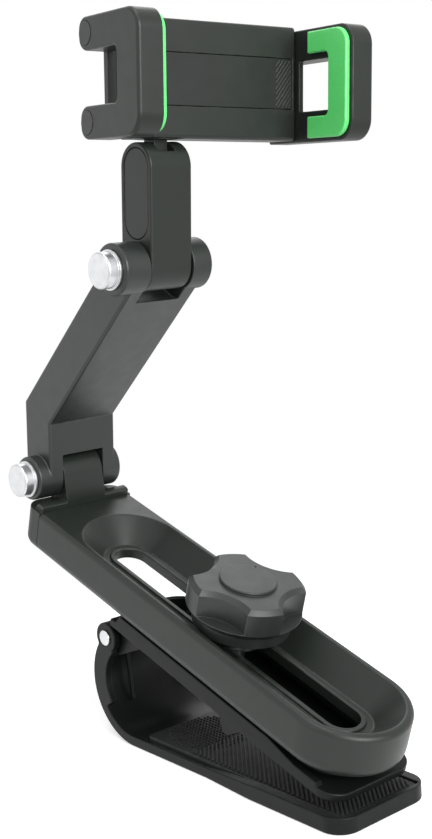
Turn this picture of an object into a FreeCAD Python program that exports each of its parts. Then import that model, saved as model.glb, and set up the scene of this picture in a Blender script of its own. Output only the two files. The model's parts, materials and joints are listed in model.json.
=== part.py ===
"""Sun-visor phone holder: a spring clip, a slotted rail with a clamping knob, two folding arms
and a sprung phone clamp on a swivel.

Millimetres. +Z is up, +X runs along the rail towards its rounded nose and +Y runs along the
hinge pins. The origin is on the flat underside of the lower jaw, in the middle of the area it
stands on. Sizes are in the sheet "Dims"; sketches, lengths and radii are tied to it.
"""
import math
import os
import re

import FreeCAD
import Part
import Sketcher

V = FreeCAD.Vector
doc = FreeCAD.newDocument("VisorPhoneHolder")

DIMENSIONS = {
    # places of the two arm hinges, seen from the side
    "upper_hinge_x": -40.0, "upper_hinge_z": 131.0,
    "lower_hinge_x": -83.0, "lower_hinge_z": 65.5,
    # shared fits
    "running_gap": 0.3, "pin_fit": 0.05, "seat_gap": 0.05, "inset_gap": 0.15,
    # folding arms
    "barrel_r": 7.0, "knuckle_r": 6.5, "knuckle_width": 13.8, "boss_left": 3.7,
    "boss_right": 2.2, "fork_width": 23.4, "arm_thick": 13.0, "bend_z": 85.0,
    "fork_reach": 9.5, "upper_arm_top": 163.6, "panel_margin": 1.3, "panel_depth": 0.8,
    "tilt_slot_width": 5.4, "tilt_slot_reach": 4.8, "tongue_r": 4.4, "neck_half": 2.2,
    # hinge pins
    "pin_r": 2.0, "pin_cap_r": 4.9, "pin_cap_length": 3.2, "pin_flange_r": 5.4,
    "pin_flange_thick": 0.8, "nut_r": 3.6, "nut_thick": 2.4, "plug_r": 5.2, "plug_thick": 1.2,
    # rail
    "rail_tilt": 12.75, "hinge_rise": 7.0, "rail_half": 16.7, "rail_depth": 12.9,
    "rail_start": 1.0, "rail_seam": 9.2, "rail_length": 137.8, "rail_wall": 2.2,
    "dish_half": 14.6, "dish_floor_half": 7.8, "dish_start": 18.4, "dish_depth": 6.8,
    "slot_half": 4.8, "slot_start": 28.8, "slot_margin": 12.4, "lip_width": 1.4, "lip_rise": 0.8,
    "ridge_width": 3.0, "ridge_rise": 2.0, "corner_r": 6.0, "block_corner_r": 5.0,
    "rim_round": 1.6, "hull_round": 3.6, "key_half": 2.0, "plinth_half": 12.4,
    "plinth_wall": 1.4, "plinth_drop": 2.6, "plinth_start": 49.0, "cover_thick": 1.6,
    # knob and clamping bolt
    "knob_x": 81.2, "knob_r": 15.6, "knob_flute_r": 11.0, "knob_flute_depth": 4.2,
    "knob_turn": 22.0, "skirt_r": 13.3, "skirt_low": -1.0, "skirt_rise": 4.6, "hub_r": 7.2,
    "knob_rise": 11.3, "knob_disc_r": 7.7, "knob_disc_rise": 0.8, "bolt_r": 2.5, "bolt_head_r": 5.0,
    "bolt_head_thick": 1.3, "insert_r": 4.5, "insert_rise": 6.0, "washer_r": 6.8,
    "washer_thick": 1.0,
    # clip
    "eye_height": 29.55, "tip_gap": 1.53,
    "eye_x": -46.2, "eye_z": 26.6, "eye_r": 1.8, "eye_boss_r": 4.3, "eyelet_wall": 0.5,
    "eyelet_rim": 0.4, "eyelet_rim_thick": 0.4, "clip_half": 15.0, "ear_thick": 2.2,
    "jaw_back_r": 17.0, "jaw_back_x": -36.3, "jaw_wall": 2.8, "jaw_tip_x": 45.4,
    "tip_half": 16.2, "tip_start_x": -5.0, "widen_run": 18.0, "jaw_rim": 1.6,
    "jaw_rim_rise": 1.4, "rim_run": 22.0,
    "pad_thick": 1.8, "pad_rib_rise": 0.6, "pad_rib_pitch": 4.0, "tray_thick": 2.2,
    "tray_tip": 135.0, "tray_rim": 2.2, "tray_rim_rise": 2.6, "tip_rim_rise": 1.0,
    "grip_thick": 1.3, "grip_back": 20.0, "grip_end": 3.0, "spring_wire": 1.2,
    "spring_coil_r": 4.0, "coil_inset": 4.0, "leg_length": 14.0,
    # phone clamp, in its own frame: y along the grip, x towards the phone
    "clamp_yaw": -7.2, "clamp_tilt": 2.9, "clamp_roll": -1.8, "swivel_r": 5.2,
    "swivel_thick": 1.0, "base_wall": 3.8,
    "stem_r": 3.2, "body_left": 15.8, "grip_min": 57.0, "body_front": 6.0, "body_back": 6.5,
    "body_height": 30.4, "body_wall": 2.0, "back_thick": 2.0, "face_thick": 1.6,
    "thin_length": 8.5, "strip_half": 6.8, "strip_depth": 0.8, "strip_left": 1.2,
    "ear_height": 30.0, "ear_drop": 0.8, "ear_width": 7.0, "ear_reach": 24.6, "ear_leg": 8.3,
    "ear_bar": 8.6, "fixed_bar": 10.8, "ear_round": 5.5, "leg_start": 5.0, "leg_round": 3.2,
    "window_bar": 1.6, "bridge_thick": 1.6, "pad_depth": 1.5, "pad_border": 1.0,
    "pad_start": 7.0, "pad_step": 1.6, "cover_r": 3.0,
    "slide_thick": 2.6, "slide_height": 14.0, "slide_length": 46.0, "slide_x": -1.0,
    "pull_coil_r": 1.5, "pull_wire": 0.6, "pull_spread": 4.0, "pull_drop": 1.8,
    "pull_stop": 12.0, "screw_inset": 4.4, "screw_r": 1.2, "screw_head_r": 2.2,
    "screw_head_thick": 1.2, "tilt_pin_r": 1.5,
}

dims = doc.addObject("Spreadsheet::Sheet", "Dims")
for row, (alias, value) in enumerate(DIMENSIONS.items(), start=1):
    dims.set("A%d" % row, alias)
    dims.set("B%d" % row, "%g" % value)
    dims.setAlias("B%d" % row, alias)
doc.recompute()

ALIAS = re.compile(r"\b(%s)\b" % "|".join(DIMENSIONS))
PLANE = {"XY": "XY_Plane", "XZ": "XZ_Plane", "YZ": "YZ_Plane"}


def val(expr):
    """Number that an expression of sheet names has now."""
    return float(dims.evalExpression(str(expr)))


def tie(obj, prop, expr):
    """Bind a property to an expression of sheet names."""
    obj.setExpression(prop, ALIAS.sub(r"Dims.\1", str(expr)))


def new_body(name):
    body = doc.addObject("PartDesign::Body", name)
    body.Label = name
    body.AllowCompound = True
    return body


class Drawing:
    """A sketch whose points and radii are expressions of sheet names."""

    def __init__(self, body, name, plane, level):
        self.sketch = body.newObject("Sketcher::SketchObject", name)
        origin = [f for f in body.Origin.OriginFeatures if f.Role == PLANE[plane]][0]
        self.sketch.AttachmentSupport = [(origin, "")]
        self.sketch.MapMode = "FlatFace"
        tie(self.sketch, ".AttachmentOffset.Base.z", level)

    def datum(self, kind, geo, pos, expr):
        where = (-1, 1, geo, pos) if pos else (geo,)
        index = self.sketch.addConstraint(Sketcher.Constraint(kind, *where, val(expr)))
        tie(self.sketch, "Constraints[%d]" % index, expr)

    def place(self, geo, pos, x, y):
        self.datum("DistanceX", geo, pos, x)
        self.datum("DistanceY", geo, pos, y)

    def join(self, first, first_end, second, second_end):
        self.sketch.addConstraint(
            Sketcher.Constraint("Coincident", first, first_end, second, second_end))

    def polygon(self, points):
        spots = [V(val(x), val(y), 0) for x, y in points]
        count = len(spots)
        first = self.sketch.GeometryCount
        for i in range(count):
            self.sketch.addGeometry(Part.LineSegment(spots[i], spots[(i + 1) % count]), False)
        for i in range(count):
            self.join(first + i, 2, first + (i + 1) % count, 1)
            self.place(first + i, 1, *points[i])

    def box(self, x0, x1, y0, y1):
        self.polygon([(x0, y0), (x1, y0), (x1, y1), (x0, y1)])

    def circle(self, x, y, radius):
        geo = self.sketch.GeometryCount
        self.sketch.addGeometry(Part.Circle(V(val(x), val(y), 0), V(0, 0, 1), val(radius)), False)
        self.place(geo, 3, x, y)
        self.datum("Radius", geo, 0, radius)

    def arc(self, x, y, radius, start, end):
        """Arc counter-clockwise between two angles given as expressions in degrees."""
        geo = self.sketch.GeometryCount
        ring = Part.Circle(V(val(x), val(y), 0), V(0, 0, 1), val(radius))
        turn = (math.radians(val(start)), math.radians(val(end)))
        self.sketch.addGeometry(Part.ArcOfCircle(ring, *turn), False)
        self.place(geo, 3, x, y)
        self.datum("Radius", geo, 0, radius)
        return geo

    def obround(self, x0, x1, half, y="0"):
        """Slot outline between two end centres on a line along the first axis."""
        left = self.arc(x0, y, half, 90, 270)
        right = self.arc(x1, y, half, 270, 450)
        low = self.sketch.GeometryCount
        a, b, r, h = val(x0), val(x1), val(half), val(y)
        self.sketch.addGeometry(Part.LineSegment(V(a, h - r, 0), V(b, h - r, 0)), False)
        self.sketch.addGeometry(Part.LineSegment(V(b, h + r, 0), V(a, h + r, 0)), False)
        for one, one_end, two, two_end in (
                (left, 2, low, 1), (low, 2, right, 1), (right, 2, low + 1, 1), (low + 1, 2, left, 1)):
            self.sketch.addConstraint(Sketcher.Constraint("Tangent", one, one_end, two, two_end))

    def pill(self, x, y0, y1, half):
        """Upright slot outline between two end centres."""
        low = self.arc(x, y0, half, 180, 360)
        high = self.arc(x, y1, half, 0, 180)
        side = self.sketch.GeometryCount
        c, a, b, r = val(x), val(y0), val(y1), val(half)
        self.sketch.addGeometry(Part.LineSegment(V(c + r, a, 0), V(c + r, b, 0)), False)
        self.sketch.addGeometry(Part.LineSegment(V(c - r, b, 0), V(c - r, a, 0)), False)
        for one, one_end, two, two_end in (
                (low, 2, side, 1), (side, 2, high, 1), (high, 2, side + 1, 1), (side + 1, 2, low, 1)):
            self.sketch.addConstraint(Sketcher.Constraint("Tangent", one, one_end, two, two_end))

    def band(self, x, y, inner, outer, start, end):
        """Ring sector between two radii and two angles in degrees."""
        rim = self.arc(x, y, outer, start, end)
        bore = self.arc(x, y, inner, start, end)
        for geo, radius in ((rim, outer), (bore, inner)):
            for pos, angle in ((1, start), (2, end)):
                self.datum("DistanceX", geo, pos, "(%s) + (%s) * cos(%s)" % (x, radius, angle))
        for pos, angle in ((1, start), (2, end)):
            line = self.sketch.GeometryCount
            ends = [V(val("(%s) + (%s) * cos(%s)" % (x, r, angle)),
                      val("(%s) + (%s) * sin(%s)" % (y, r, angle)), 0) for r in (inner, outer)]
            self.sketch.addGeometry(Part.LineSegment(*ends), False)
            self.join(line, 1, bore, pos)
            self.join(line, 2, rim, pos)


def grow(body, name, plane, low, high, draw):
    """Add material between two levels along the plane's axis; draw fills the sketch."""
    level = "-(%s)" % high if plane == "XZ" else low
    drawing = Drawing(body, name + "_sketch", plane, level)
    draw(drawing)
    doc.recompute()
    pad = body.newObject("PartDesign::Pad", name)
    pad.Profile = drawing.sketch
    tie(pad, "Length", "(%s) - (%s)" % (high, low))
    finish(body, pad, drawing)


def carve(body, name, plane, low, high, draw):
    """Remove material between two levels along the plane's axis; draw fills the sketch."""
    before = body.Shape.Volume
    level = "-(%s)" % low if plane == "XZ" else high
    drawing = Drawing(body, name + "_sketch", plane, level)
    draw(drawing)
    doc.recompute()
    pocket = body.newObject("PartDesign::Pocket", name)
    pocket.Profile = drawing.sketch
    tie(pocket, "Length", "(%s) - (%s)" % (high, low))
    finish(body, pocket, drawing)
    if body.Shape.Volume >= before - 1e-6:
        raise RuntimeError("%s of %s removes nothing" % (name, body.Label))


def hollow(body, name, low, high, draw_low, draw_high):
    """Remove a hollow whose outline changes from a low level to a high level."""
    before = body.Shape.Volume
    drawings = []
    for tag, height, draw in (("low", low, draw_low), ("high", high, draw_high)):
        drawing = Drawing(body, "%s_%s_sketch" % (name, tag), "XY", height)
        draw(drawing)
        drawings.append(drawing)
    doc.recompute()
    loft = body.newObject("PartDesign::SubtractiveLoft", name)
    loft.Profile = drawings[0].sketch
    loft.Sections = [drawings[1].sketch]
    loft.Ruled = True
    drawings[1].sketch.Visibility = False
    finish(body, loft, drawings[0])
    if body.Shape.Volume >= before - 1e-6:
        raise RuntimeError("%s of %s removes nothing" % (name, body.Label))


def finish(body, feature, drawing):
    body.Tip = feature
    drawing.sketch.Visibility = False
    doc.recompute()
    if feature.Shape.isNull() or not feature.Shape.isValid():
        raise RuntimeError("%s of %s failed" % (feature.Name, body.Label))


def soften(body, name, radius, wanted, bevel=False):
    """Round or bevel the edges that the test picks."""
    base = body.Tip
    picked = ["Edge%d" % (i + 1) for i, e in enumerate(base.Shape.Edges) if wanted(e)]
    if not picked:
        raise RuntimeError("%s of %s finds no edge" % (name, body.Label))
    kind = "PartDesign::Chamfer" if bevel else "PartDesign::Fillet"
    feature = body.newObject(kind, name)
    feature.Base = (base, picked)
    tie(feature, "Size" if bevel else "Radius", radius)
    body.Tip = feature
    doc.recompute()
    if feature.Shape.isNull() or not feature.Shape.isValid():
        raise RuntimeError("%s of %s failed" % (name, body.Label))


def near(value, expr, slack=0.02):
    return abs(value - val(expr)) < slack


def along(edge, axis):
    """True for a straight edge parallel to an axis given as a letter."""
    if edge.Curve.TypeId != "Part::GeomLine":
        return False
    return abs(edge.Curve.Direction.dot(V(*[float(a == axis) for a in "xyz"]))) > 0.999


def level(edge, axis, expr):
    """True for an edge that lies wholly at one level along an axis."""
    box = edge.BoundBox
    low, high = {"x": (box.XMin, box.XMax), "y": (box.YMin, box.YMax),
                 "z": (box.ZMin, box.ZMax)}[axis]
    return near(low, expr) and near(high, expr)


# Rail frame: x along the rail from under the lower hinge, z up from the rail's rim.
RAIL_X0 = "(lower_hinge_x - hinge_rise * sin(rail_tilt))"
RAIL_Z0 = "(lower_hinge_z - hinge_rise * cos(rail_tilt))"
EYE_S = "((eye_x - %s) * cos(rail_tilt) - (eye_z - %s) * sin(rail_tilt))" % (RAIL_X0, RAIL_Z0)
EYE_Z = "((eye_x - %s) * sin(rail_tilt) + (eye_z - %s) * cos(rail_tilt))" % (RAIL_X0, RAIL_Z0)
TRAY_TOP = "(-rail_depth - plinth_drop - running_gap)"
TRAY_LOW = "(%s - tray_thick)" % TRAY_TOP
NOSE = "(rail_length - rail_half)"
SLOT_END = "(rail_length - slot_margin)"
FLOOR = "(-dish_depth)"
KEY_LOW = "(-rail_depth / 2 - key_half)"
KEY_HIGH = "(-rail_depth / 2 + key_half)"
DISH_SLOPE = "((dish_half - dish_floor_half) / dish_depth)"
PLINTH_ENDS = ("plinth_start + plinth_half", SLOT_END + " - 6")
# Clamp frame: origin on the tilt pin, z along the swivel stem.
TILT_Z = "(upper_arm_top - arm_thick / 2)"
DISC_LOW = "(arm_thick / 2 + 1.7 * running_gap)"
BASE = "(%s + running_gap / 3)" % DISC_LOW
STEM_SEAT = "(%s + base_wall + running_gap)" % BASE
LEFT = "(-body_left)"
RIGHT = "(grip_min - body_left)"
THICK_LEFT = "(thin_length - body_left)"


LOWER_PAD_TOP = "(jaw_wall + pad_thick / 2 + seat_gap + pad_rib_rise)"
TIP_RUN = "(tray_tip - grip_end - %s)" % EYE_S
TIP_DROP = "(%s - seat_gap - grip_thick - %s)" % (TRAY_LOW, EYE_Z)


def stance():
    """Lean in degrees at which the pads' tips are the tip gap apart."""
    run, drop = val(TIP_RUN), val(TIP_DROP)
    height = val("eye_height - %s - tip_gap" % LOWER_PAD_TOP)
    lean = math.asin(height / math.hypot(run, drop)) + math.atan2(drop, run)
    return math.degrees(lean) - val("rail_tilt")


def stance_place():
    """All above the lower jaw: lifted to the eye and leaned about it until the pads' tips nearly meet."""
    lean = FreeCAD.Rotation(V(0, 1, 0), stance())
    eye = V(val("eye_x"), 0, val("eye_z"))
    return FreeCAD.Placement(V(0, 0, val("eye_height - eye_z")), lean, eye)


def rail_place():
    turn_y = FreeCAD.Rotation(V(0, 1, 0), val("rail_tilt"))
    return stance_place() * FreeCAD.Placement(V(val(RAIL_X0), 0, val(RAIL_Z0)), turn_y)


def tilt_place(yaw=True):
    """Head frame: tipped about the tilt pin, and for the clamp also swung about its stem."""
    turned = FreeCAD.Rotation(V(0, 1, 0), -val("clamp_tilt"))
    turned = turned.multiply(FreeCAD.Rotation(V(1, 0, 0), val("clamp_roll")))
    if yaw:
        turned = turned.multiply(FreeCAD.Rotation(V(0, 0, 1), val("clamp_yaw")))
    return stance_place() * FreeCAD.Placement(V(val("upper_hinge_x"), 0, val(TILT_Z)), turned)


def lower_jaw():
    """Bent lower jaw: flat foot, rimmed tip plate, curved back and two hinge ears."""
    body = new_body("lower_jaw")
    grow(body, "foot", "XY", 0, "jaw_wall", lambda d: d.box(
        "jaw_back_x", "tip_start_x + 1", "-clip_half", "clip_half"))
    grow(body, "tip_plate", "XY", 0, "jaw_wall + jaw_rim_rise", lambda d: d.polygon([
        ("tip_start_x", "-clip_half"), ("tip_start_x + widen_run", "-tip_half"), ("jaw_tip_x", "-tip_half"),
        ("jaw_tip_x", "tip_half"), ("tip_start_x + widen_run", "tip_half"), ("tip_start_x", "clip_half")]))
    soften(body, "tip_corners", "corner_r", lambda e: along(e, "z") and (
        near(e.CenterOfMass.x, "jaw_tip_x") and near(abs(e.CenterOfMass.y), "tip_half")))
    carve(body, "rim_ramp", "XZ", "-tip_half - 1", "tip_half + 1", lambda d: d.polygon([
        ("tip_start_x - 1", "jaw_wall"), ("tip_start_x", "jaw_wall"),
        ("tip_start_x + rim_run", "jaw_wall + jaw_rim_rise"),
        ("tip_start_x + rim_run", "jaw_wall + jaw_rim_rise + 1"),
        ("tip_start_x - 1", "jaw_wall + jaw_rim_rise + 1")]))
    grow(body, "back", "XZ", "-clip_half", "clip_half", lambda d: d.band(
        "jaw_back_x", "jaw_back_r", "jaw_back_r - jaw_wall", "jaw_back_r", 158, 270))
    for name, low, high in (("left", "-clip_half", "-clip_half + ear_thick"),
                            ("right", "clip_half - ear_thick", "clip_half")):
        grow(body, name + "_ear", "XZ", low, high, lambda d: d.band(
            "jaw_back_x", "jaw_back_r", "jaw_back_r - 2.1 * jaw_wall", "jaw_back_r", 130, 215))
        grow(body, name + "_boss", "XZ", low, high, lambda d: d.circle(
            "eye_x", "eye_height", "eye_boss_r"))
    carve(body, "eye", "XZ", "-clip_half - 1", "clip_half + 1", lambda d: d.circle(
        "eye_x", "eye_height", "eye_r"))
    carve(body, "pad_seat", "XY", "jaw_wall - pad_thick / 2", "jaw_wall + jaw_rim_rise + 1",
          lambda d: d.box("jaw_back_x + 4", "jaw_tip_x - jaw_rim", "-tip_half + jaw_rim + 1.4",
                          "tip_half - jaw_rim - 1.4"))
    return body


def lower_jaw_pad():
    """Rubber grip sheet with cross ribs, seated in the lower jaw."""
    body = new_body("lower_jaw_pad")
    low = "(jaw_wall - pad_thick / 2 + seat_gap)"
    top = "(%s + pad_thick)" % low
    grow(body, "sheet", "XY", low, top, lambda d: d.box(
        "jaw_back_x + 4 + inset_gap", "jaw_tip_x - jaw_rim - inset_gap",
        "-tip_half + jaw_rim + 1.4 + inset_gap", "tip_half - jaw_rim - 1.4 - inset_gap"))
    grow(body, "rib", "XY", "%s - 0.2" % top, "%s + pad_rib_rise" % top, lambda d: d.box(
        "jaw_tip_x - jaw_rim - 2.4", "jaw_tip_x - jaw_rim - 1.2", "-tip_half + jaw_rim + 2.4",
        "tip_half - jaw_rim - 2.4"))
    rib = body.Tip
    pattern = body.newObject("PartDesign::LinearPattern", "ribs")
    pattern.Originals = [rib]
    pattern.Direction = (rib.Profile[0], ["H_Axis"])
    pattern.Reversed = True
    count = 11
    tie(pattern, "Length", "pad_rib_pitch * %d" % (count - 1))
    body.Tip = pattern
    pattern.Occurrences = count
    doc.recompute()
    return body


def upper_jaw():
    """Upper jaw: tray under the rail with side rims, hinge lugs, stop teeth and a bolt hole."""
    body = new_body("upper_jaw")
    start = "(%s + 1.0)" % EYE_S
    grow(body, "tray", "XY", TRAY_LOW, TRAY_TOP, lambda d: d.box(
        start, "tray_tip", "-clip_half", "clip_half"))
    soften(body, "tip_corners", "corner_r", lambda e: along(e, "z") and near(
        e.CenterOfMass.x, "tray_tip"))
    for name, low, high in (("left", "-clip_half", "-clip_half + tray_rim"),
                            ("right", "clip_half - tray_rim", "clip_half")):
        grow(body, name + "_rim", "XZ", low, high, lambda d: d.polygon([
            ("%s + 3" % EYE_S, "%s - 0.5" % TRAY_TOP), ("tray_tip - corner_r", "%s - 0.5" % TRAY_TOP),
            ("tray_tip - corner_r", "%s + tip_rim_rise" % TRAY_TOP),
            ("tray_tip - 14", "%s + tip_rim_rise" % TRAY_TOP),
            ("tray_tip - 24", "%s + tray_rim_rise" % TRAY_TOP),
            ("%s + 5" % EYE_S, "%s + tray_rim_rise" % TRAY_TOP)]))
        grow(body, name + "_tooth", "XZ", low, high, lambda d: d.polygon([
            ("knob_x + 12", "%s + 0.5" % TRAY_LOW), ("knob_x + 14.5", "%s - 3.6" % TRAY_LOW),
            ("knob_x + 16.5", "%s - 3.6" % TRAY_LOW), ("knob_x + 21", "%s + 0.5" % TRAY_LOW)]))
    lug_out = "clip_half - ear_thick - running_gap"
    for name, low, high in (("left", "-(%s)" % lug_out, "-(%s - ear_thick)" % lug_out),
                            ("right", "%s - ear_thick" % lug_out, lug_out)):
        grow(body, name + "_lug", "XZ", low, high, lambda d: d.polygon([
            (EYE_S, "%s - eye_boss_r" % EYE_Z), ("%s + 4" % EYE_S, "%s - eye_boss_r" % EYE_Z),
            ("%s + 16" % EYE_S, "%s + 0.5" % TRAY_LOW), ("%s + 16" % EYE_S, "%s - 0.2" % TRAY_TOP),
            ("%s + 1.2" % EYE_S, "%s - 0.2" % TRAY_TOP), (EYE_S, "%s + eye_boss_r" % EYE_Z)]))
        grow(body, name + "_lug_boss", "XZ", low, high, lambda d: d.circle(
            EYE_S, EYE_Z, "eye_boss_r"))
    carve(body, "eye", "XZ", "-clip_half - 1", "clip_half + 1", lambda d: d.circle(
        EYE_S, EYE_Z, "eye_r"))
    carve(body, "bolt_hole", "XY", "%s - 1" % TRAY_LOW, "%s + 1" % TRAY_TOP, lambda d: d.circle(
        "knob_x", 0, "bolt_r + pin_fit"))
    body.Placement = rail_place()
    return body


def upper_jaw_pad():
    """Thin rubber sheet under the upper jaw with a hole for the bolt head."""
    body = new_body("upper_jaw_pad")
    top = "(%s - seat_gap)" % TRAY_LOW
    grow(body, "sheet", "XY", "%s - grip_thick" % top, top, lambda d: (
        d.box("%s + grip_back" % EYE_S, "tray_tip - grip_end", "-clip_half + tray_rim + 1",
              "clip_half - tray_rim - 1"),
        d.circle("knob_x", 0, "bolt_head_r + 0.5")))
    body.Placement = rail_place()
    return body


def clip_eyelets():
    """Tube rivets with closed heads that join the jaws' ears, one on each side."""
    body = new_body("clip_eyelets")
    inner = "(clip_half - 2 * ear_thick - 2.5 * running_gap)"
    outer = "(clip_half + eyelet_rim_thick + seat_gap)"
    for name, low, high in (("left", "-%s" % outer, "-%s" % inner), ("right", inner, outer)):
        grow(body, name + "_tube", "XZ", low, high, lambda d: (
            d.circle("eye_x", "eye_height", "eye_r - pin_fit"),
            d.circle("eye_x", "eye_height", "eye_r - pin_fit - eyelet_wall")))
        face = ("-%s" % outer, "-(clip_half + seat_gap)") if name == "left" else (
            "clip_half + seat_gap", outer)
        grow(body, name + "_rim", "XZ", face[0], face[1], lambda d: d.circle(
            "eye_x", "eye_height", "eye_r + eyelet_rim"))
    return body


def clip_spring():
    """Closing spring: close-wound coil on the eye's line with one leg to each jaw."""
    body = new_body("clip_spring")
    half = "(clip_half - 2 * ear_thick - coil_inset)"
    reach = "jaw_back_r - jaw_wall - spring_wire / 2"
    grow(body, "coil", "XZ", "-%s" % half, half, lambda d: (
        d.circle("eye_x", "eye_height", "spring_coil_r"),
        d.circle("eye_x", "eye_height", "spring_coil_r - spring_wire")))
    grow(body, "low_leg", "XZ", "-%s" % half, "-%s + spring_wire" % half, lambda d: d.polygon([
        ("eye_x - spring_coil_r", "eye_height"), ("eye_x - spring_coil_r + spring_wire", "eye_height"),
        ("jaw_back_x + (%s) * cos(220)" % reach, "jaw_back_r + (%s) * sin(220)" % reach),
        ("jaw_back_x + (%s) * cos(215)" % reach, "jaw_back_r + (%s) * sin(215)" % reach)]))
    grow(body, "high_leg", "XZ", "%s - spring_wire" % half, half, lambda d: d.polygon([
        ("eye_x", "eye_height + spring_coil_r"), ("eye_x", "eye_height + spring_coil_r - spring_wire"),
        ("eye_x + leg_length", "eye_height - 1.6 * spring_wire"),
        ("eye_x + leg_length", "eye_height - 0.6 * spring_wire")]))
    return body


def clamp_bolt():
    """Bolt from under the tray up into the knob's insert."""
    body = new_body("clamp_bolt")
    seat = "(%s - seat_gap)" % TRAY_LOW
    grow(body, "head", "XY", "%s - bolt_head_thick" % seat, seat, lambda d: d.circle(
        "knob_x", 0, "bolt_head_r"))
    grow(body, "shank", "XY", "%s - 0.2" % seat, "%s + washer_thick + insert_rise - 1" % FLOOR,
         lambda d: d.circle("knob_x", 0, "bolt_r"))
    body.Placement = rail_place()
    return body


def rail_outline(d, inset="0"):
    """Plan of the rail between its seam and its round nose, moved in by an inset."""
    half = "(rail_half - (%s))" % inset
    cap = d.arc(NOSE, 0, half, 270, 450)
    first = d.sketch.GeometryCount
    x0, x1, r = val("rail_seam + (%s)" % inset), val(NOSE), val(half)
    spots = [V(x1, r, 0), V(x0, r, 0), V(x0, -r, 0), V(x1, -r, 0)]
    for a, b in zip(spots, spots[1:]):
        d.sketch.addGeometry(Part.LineSegment(a, b), False)
    d.sketch.addConstraint(Sketcher.Constraint("Tangent", cap, 2, first, 1))
    d.join(first, 2, first + 1, 1)
    d.join(first + 1, 2, first + 2, 1)
    d.sketch.addConstraint(Sketcher.Constraint("Tangent", first + 2, 2, cap, 1))
    d.datum("DistanceX", first, 2, "rail_seam + (%s)" % inset)
    d.sketch.addConstraint(Sketcher.Constraint("Horizontal", first))
    d.sketch.addConstraint(Sketcher.Constraint("Vertical", first + 1))
    d.sketch.addConstraint(Sketcher.Constraint("Horizontal", first + 2))


def rail_housing():
    """Slotted rail shell with a deep sloping dish, a lip round the slot and a round nose."""
    body = new_body("rail_housing")
    grow(body, "block", "XY", "-rail_depth", 0, rail_outline)
    for name, height, radius in (("rim_round", "0", "rim_round"),
                                 ("hull_round", "-rail_depth", "hull_round")):
        soften(body, name, radius, lambda e: level(e, "z", height) and (
            e.BoundBox.YMax > val("rail_half - 0.5") or e.BoundBox.YMin < -val("rail_half - 0.5"))
            and e.BoundBox.XMax > val("rail_seam + 2"))
    hollow(body, "dish", FLOOR, 1, *[lambda d, half=half: d.obround(
        "dish_start + dish_half", NOSE, half)
        for half in ("dish_floor_half", "dish_half + " + DISH_SLOPE)])
    grow(body, "lip", "XY", "%s - 0.3" % FLOOR, "%s + lip_rise" % FLOOR, lambda d: d.obround(
        "slot_start + slot_half", SLOT_END + " - slot_half", "slot_half + lip_width"))
    carve(body, "inside", "XY", "-rail_depth - 1", "%s - rail_wall" % FLOOR,
          lambda d: d.obround("slot_start + 2", PLINTH_ENDS[1], "plinth_half - plinth_wall"))
    carve(body, "cover_seat", "XY", "-rail_depth - 1", "-rail_depth + cover_thick",
          lambda d: d.obround(*PLINTH_ENDS, "plinth_half + inset_gap"))
    carve(body, "slot", "XY", "-rail_depth - 1", 1, lambda d: d.obround(
        "slot_start + slot_half", SLOT_END + " - slot_half", "slot_half"))
    carve(body, "key_seat", "XY", KEY_LOW + " - seat_gap", KEY_HIGH + " + seat_gap",
          lambda d: d.box("rail_seam - 1", "rail_seam + rail_wall + 1", "-key_half - seat_gap",
                          "key_half + seat_gap"))
    body.Placement = rail_place()
    return body


def rail_base():
    """Bottom cover of the rail: a long open ring that is let into the shell and slides on the tray."""
    body = new_body("rail_base_cover")
    grow(body, "ring", "XY", "-rail_depth - plinth_drop", "-rail_depth + cover_thick - seat_gap",
         lambda d: (d.obround(*PLINTH_ENDS, "plinth_half"),
                    d.obround(*PLINTH_ENDS, "plinth_half - plinth_wall")))
    body.Placement = rail_place()
    return body


def rail_hinge_block():
    """End block of the rail with the cross ridge and the knuckle of the lower hinge."""
    body = new_body("rail_hinge_block")
    grow(body, "block", "XY", "-rail_depth", 0, lambda d: d.box(
        "rail_start", "rail_seam - seat_gap", "-rail_half", "rail_half"))
    soften(body, "back_corners", "block_corner_r", lambda e: along(e, "z") and near(
        e.CenterOfMass.x, "rail_start"))
    soften(body, "hull_round", "hull_round", lambda e: level(e, "z", "-rail_depth") and (
        e.BoundBox.XMin < val("rail_seam - 1")))
    grow(body, "ridge", "XZ", "-rail_half + 1", "rail_half - 1", lambda d: d.polygon([
        ("rail_seam - ridge_width - 1.2", "-0.5"), ("rail_seam - seat_gap", "-0.5"),
        ("rail_seam - seat_gap", "ridge_rise - 0.5"), ("rail_seam - 1", "ridge_rise"),
        ("rail_seam - ridge_width + 0.4", "ridge_rise")]))
    width = "knuckle_width / 2"
    grow(body, "tab", "XZ", "-%s" % width, width, lambda d: d.polygon([
        ("-knuckle_r * cos(20)", "hinge_rise - knuckle_r * sin(20)"), ("rail_start + 1", "-1"),
        ("rail_seam - seat_gap", "-1"), ("rail_seam - seat_gap", "ridge_rise"),
        ("knuckle_r * cos(35)", "hinge_rise + knuckle_r * sin(35)")]))
    grow(body, "knuckle", "XZ", "-%s" % width, width, lambda d: d.circle(
        0, "hinge_rise", "knuckle_r"))
    grow(body, "key", "XY", KEY_LOW, KEY_HIGH, lambda d: d.box(
        "rail_seam - 1", "rail_seam + rail_wall - 0.2", "-key_half", "key_half"))
    carve(body, "bore", "XZ", "-%s - 1" % width, "%s + 1" % width, lambda d: d.circle(
        0, "hinge_rise", "pin_r + pin_fit"))
    body.Placement = rail_place()
    return body


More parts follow.
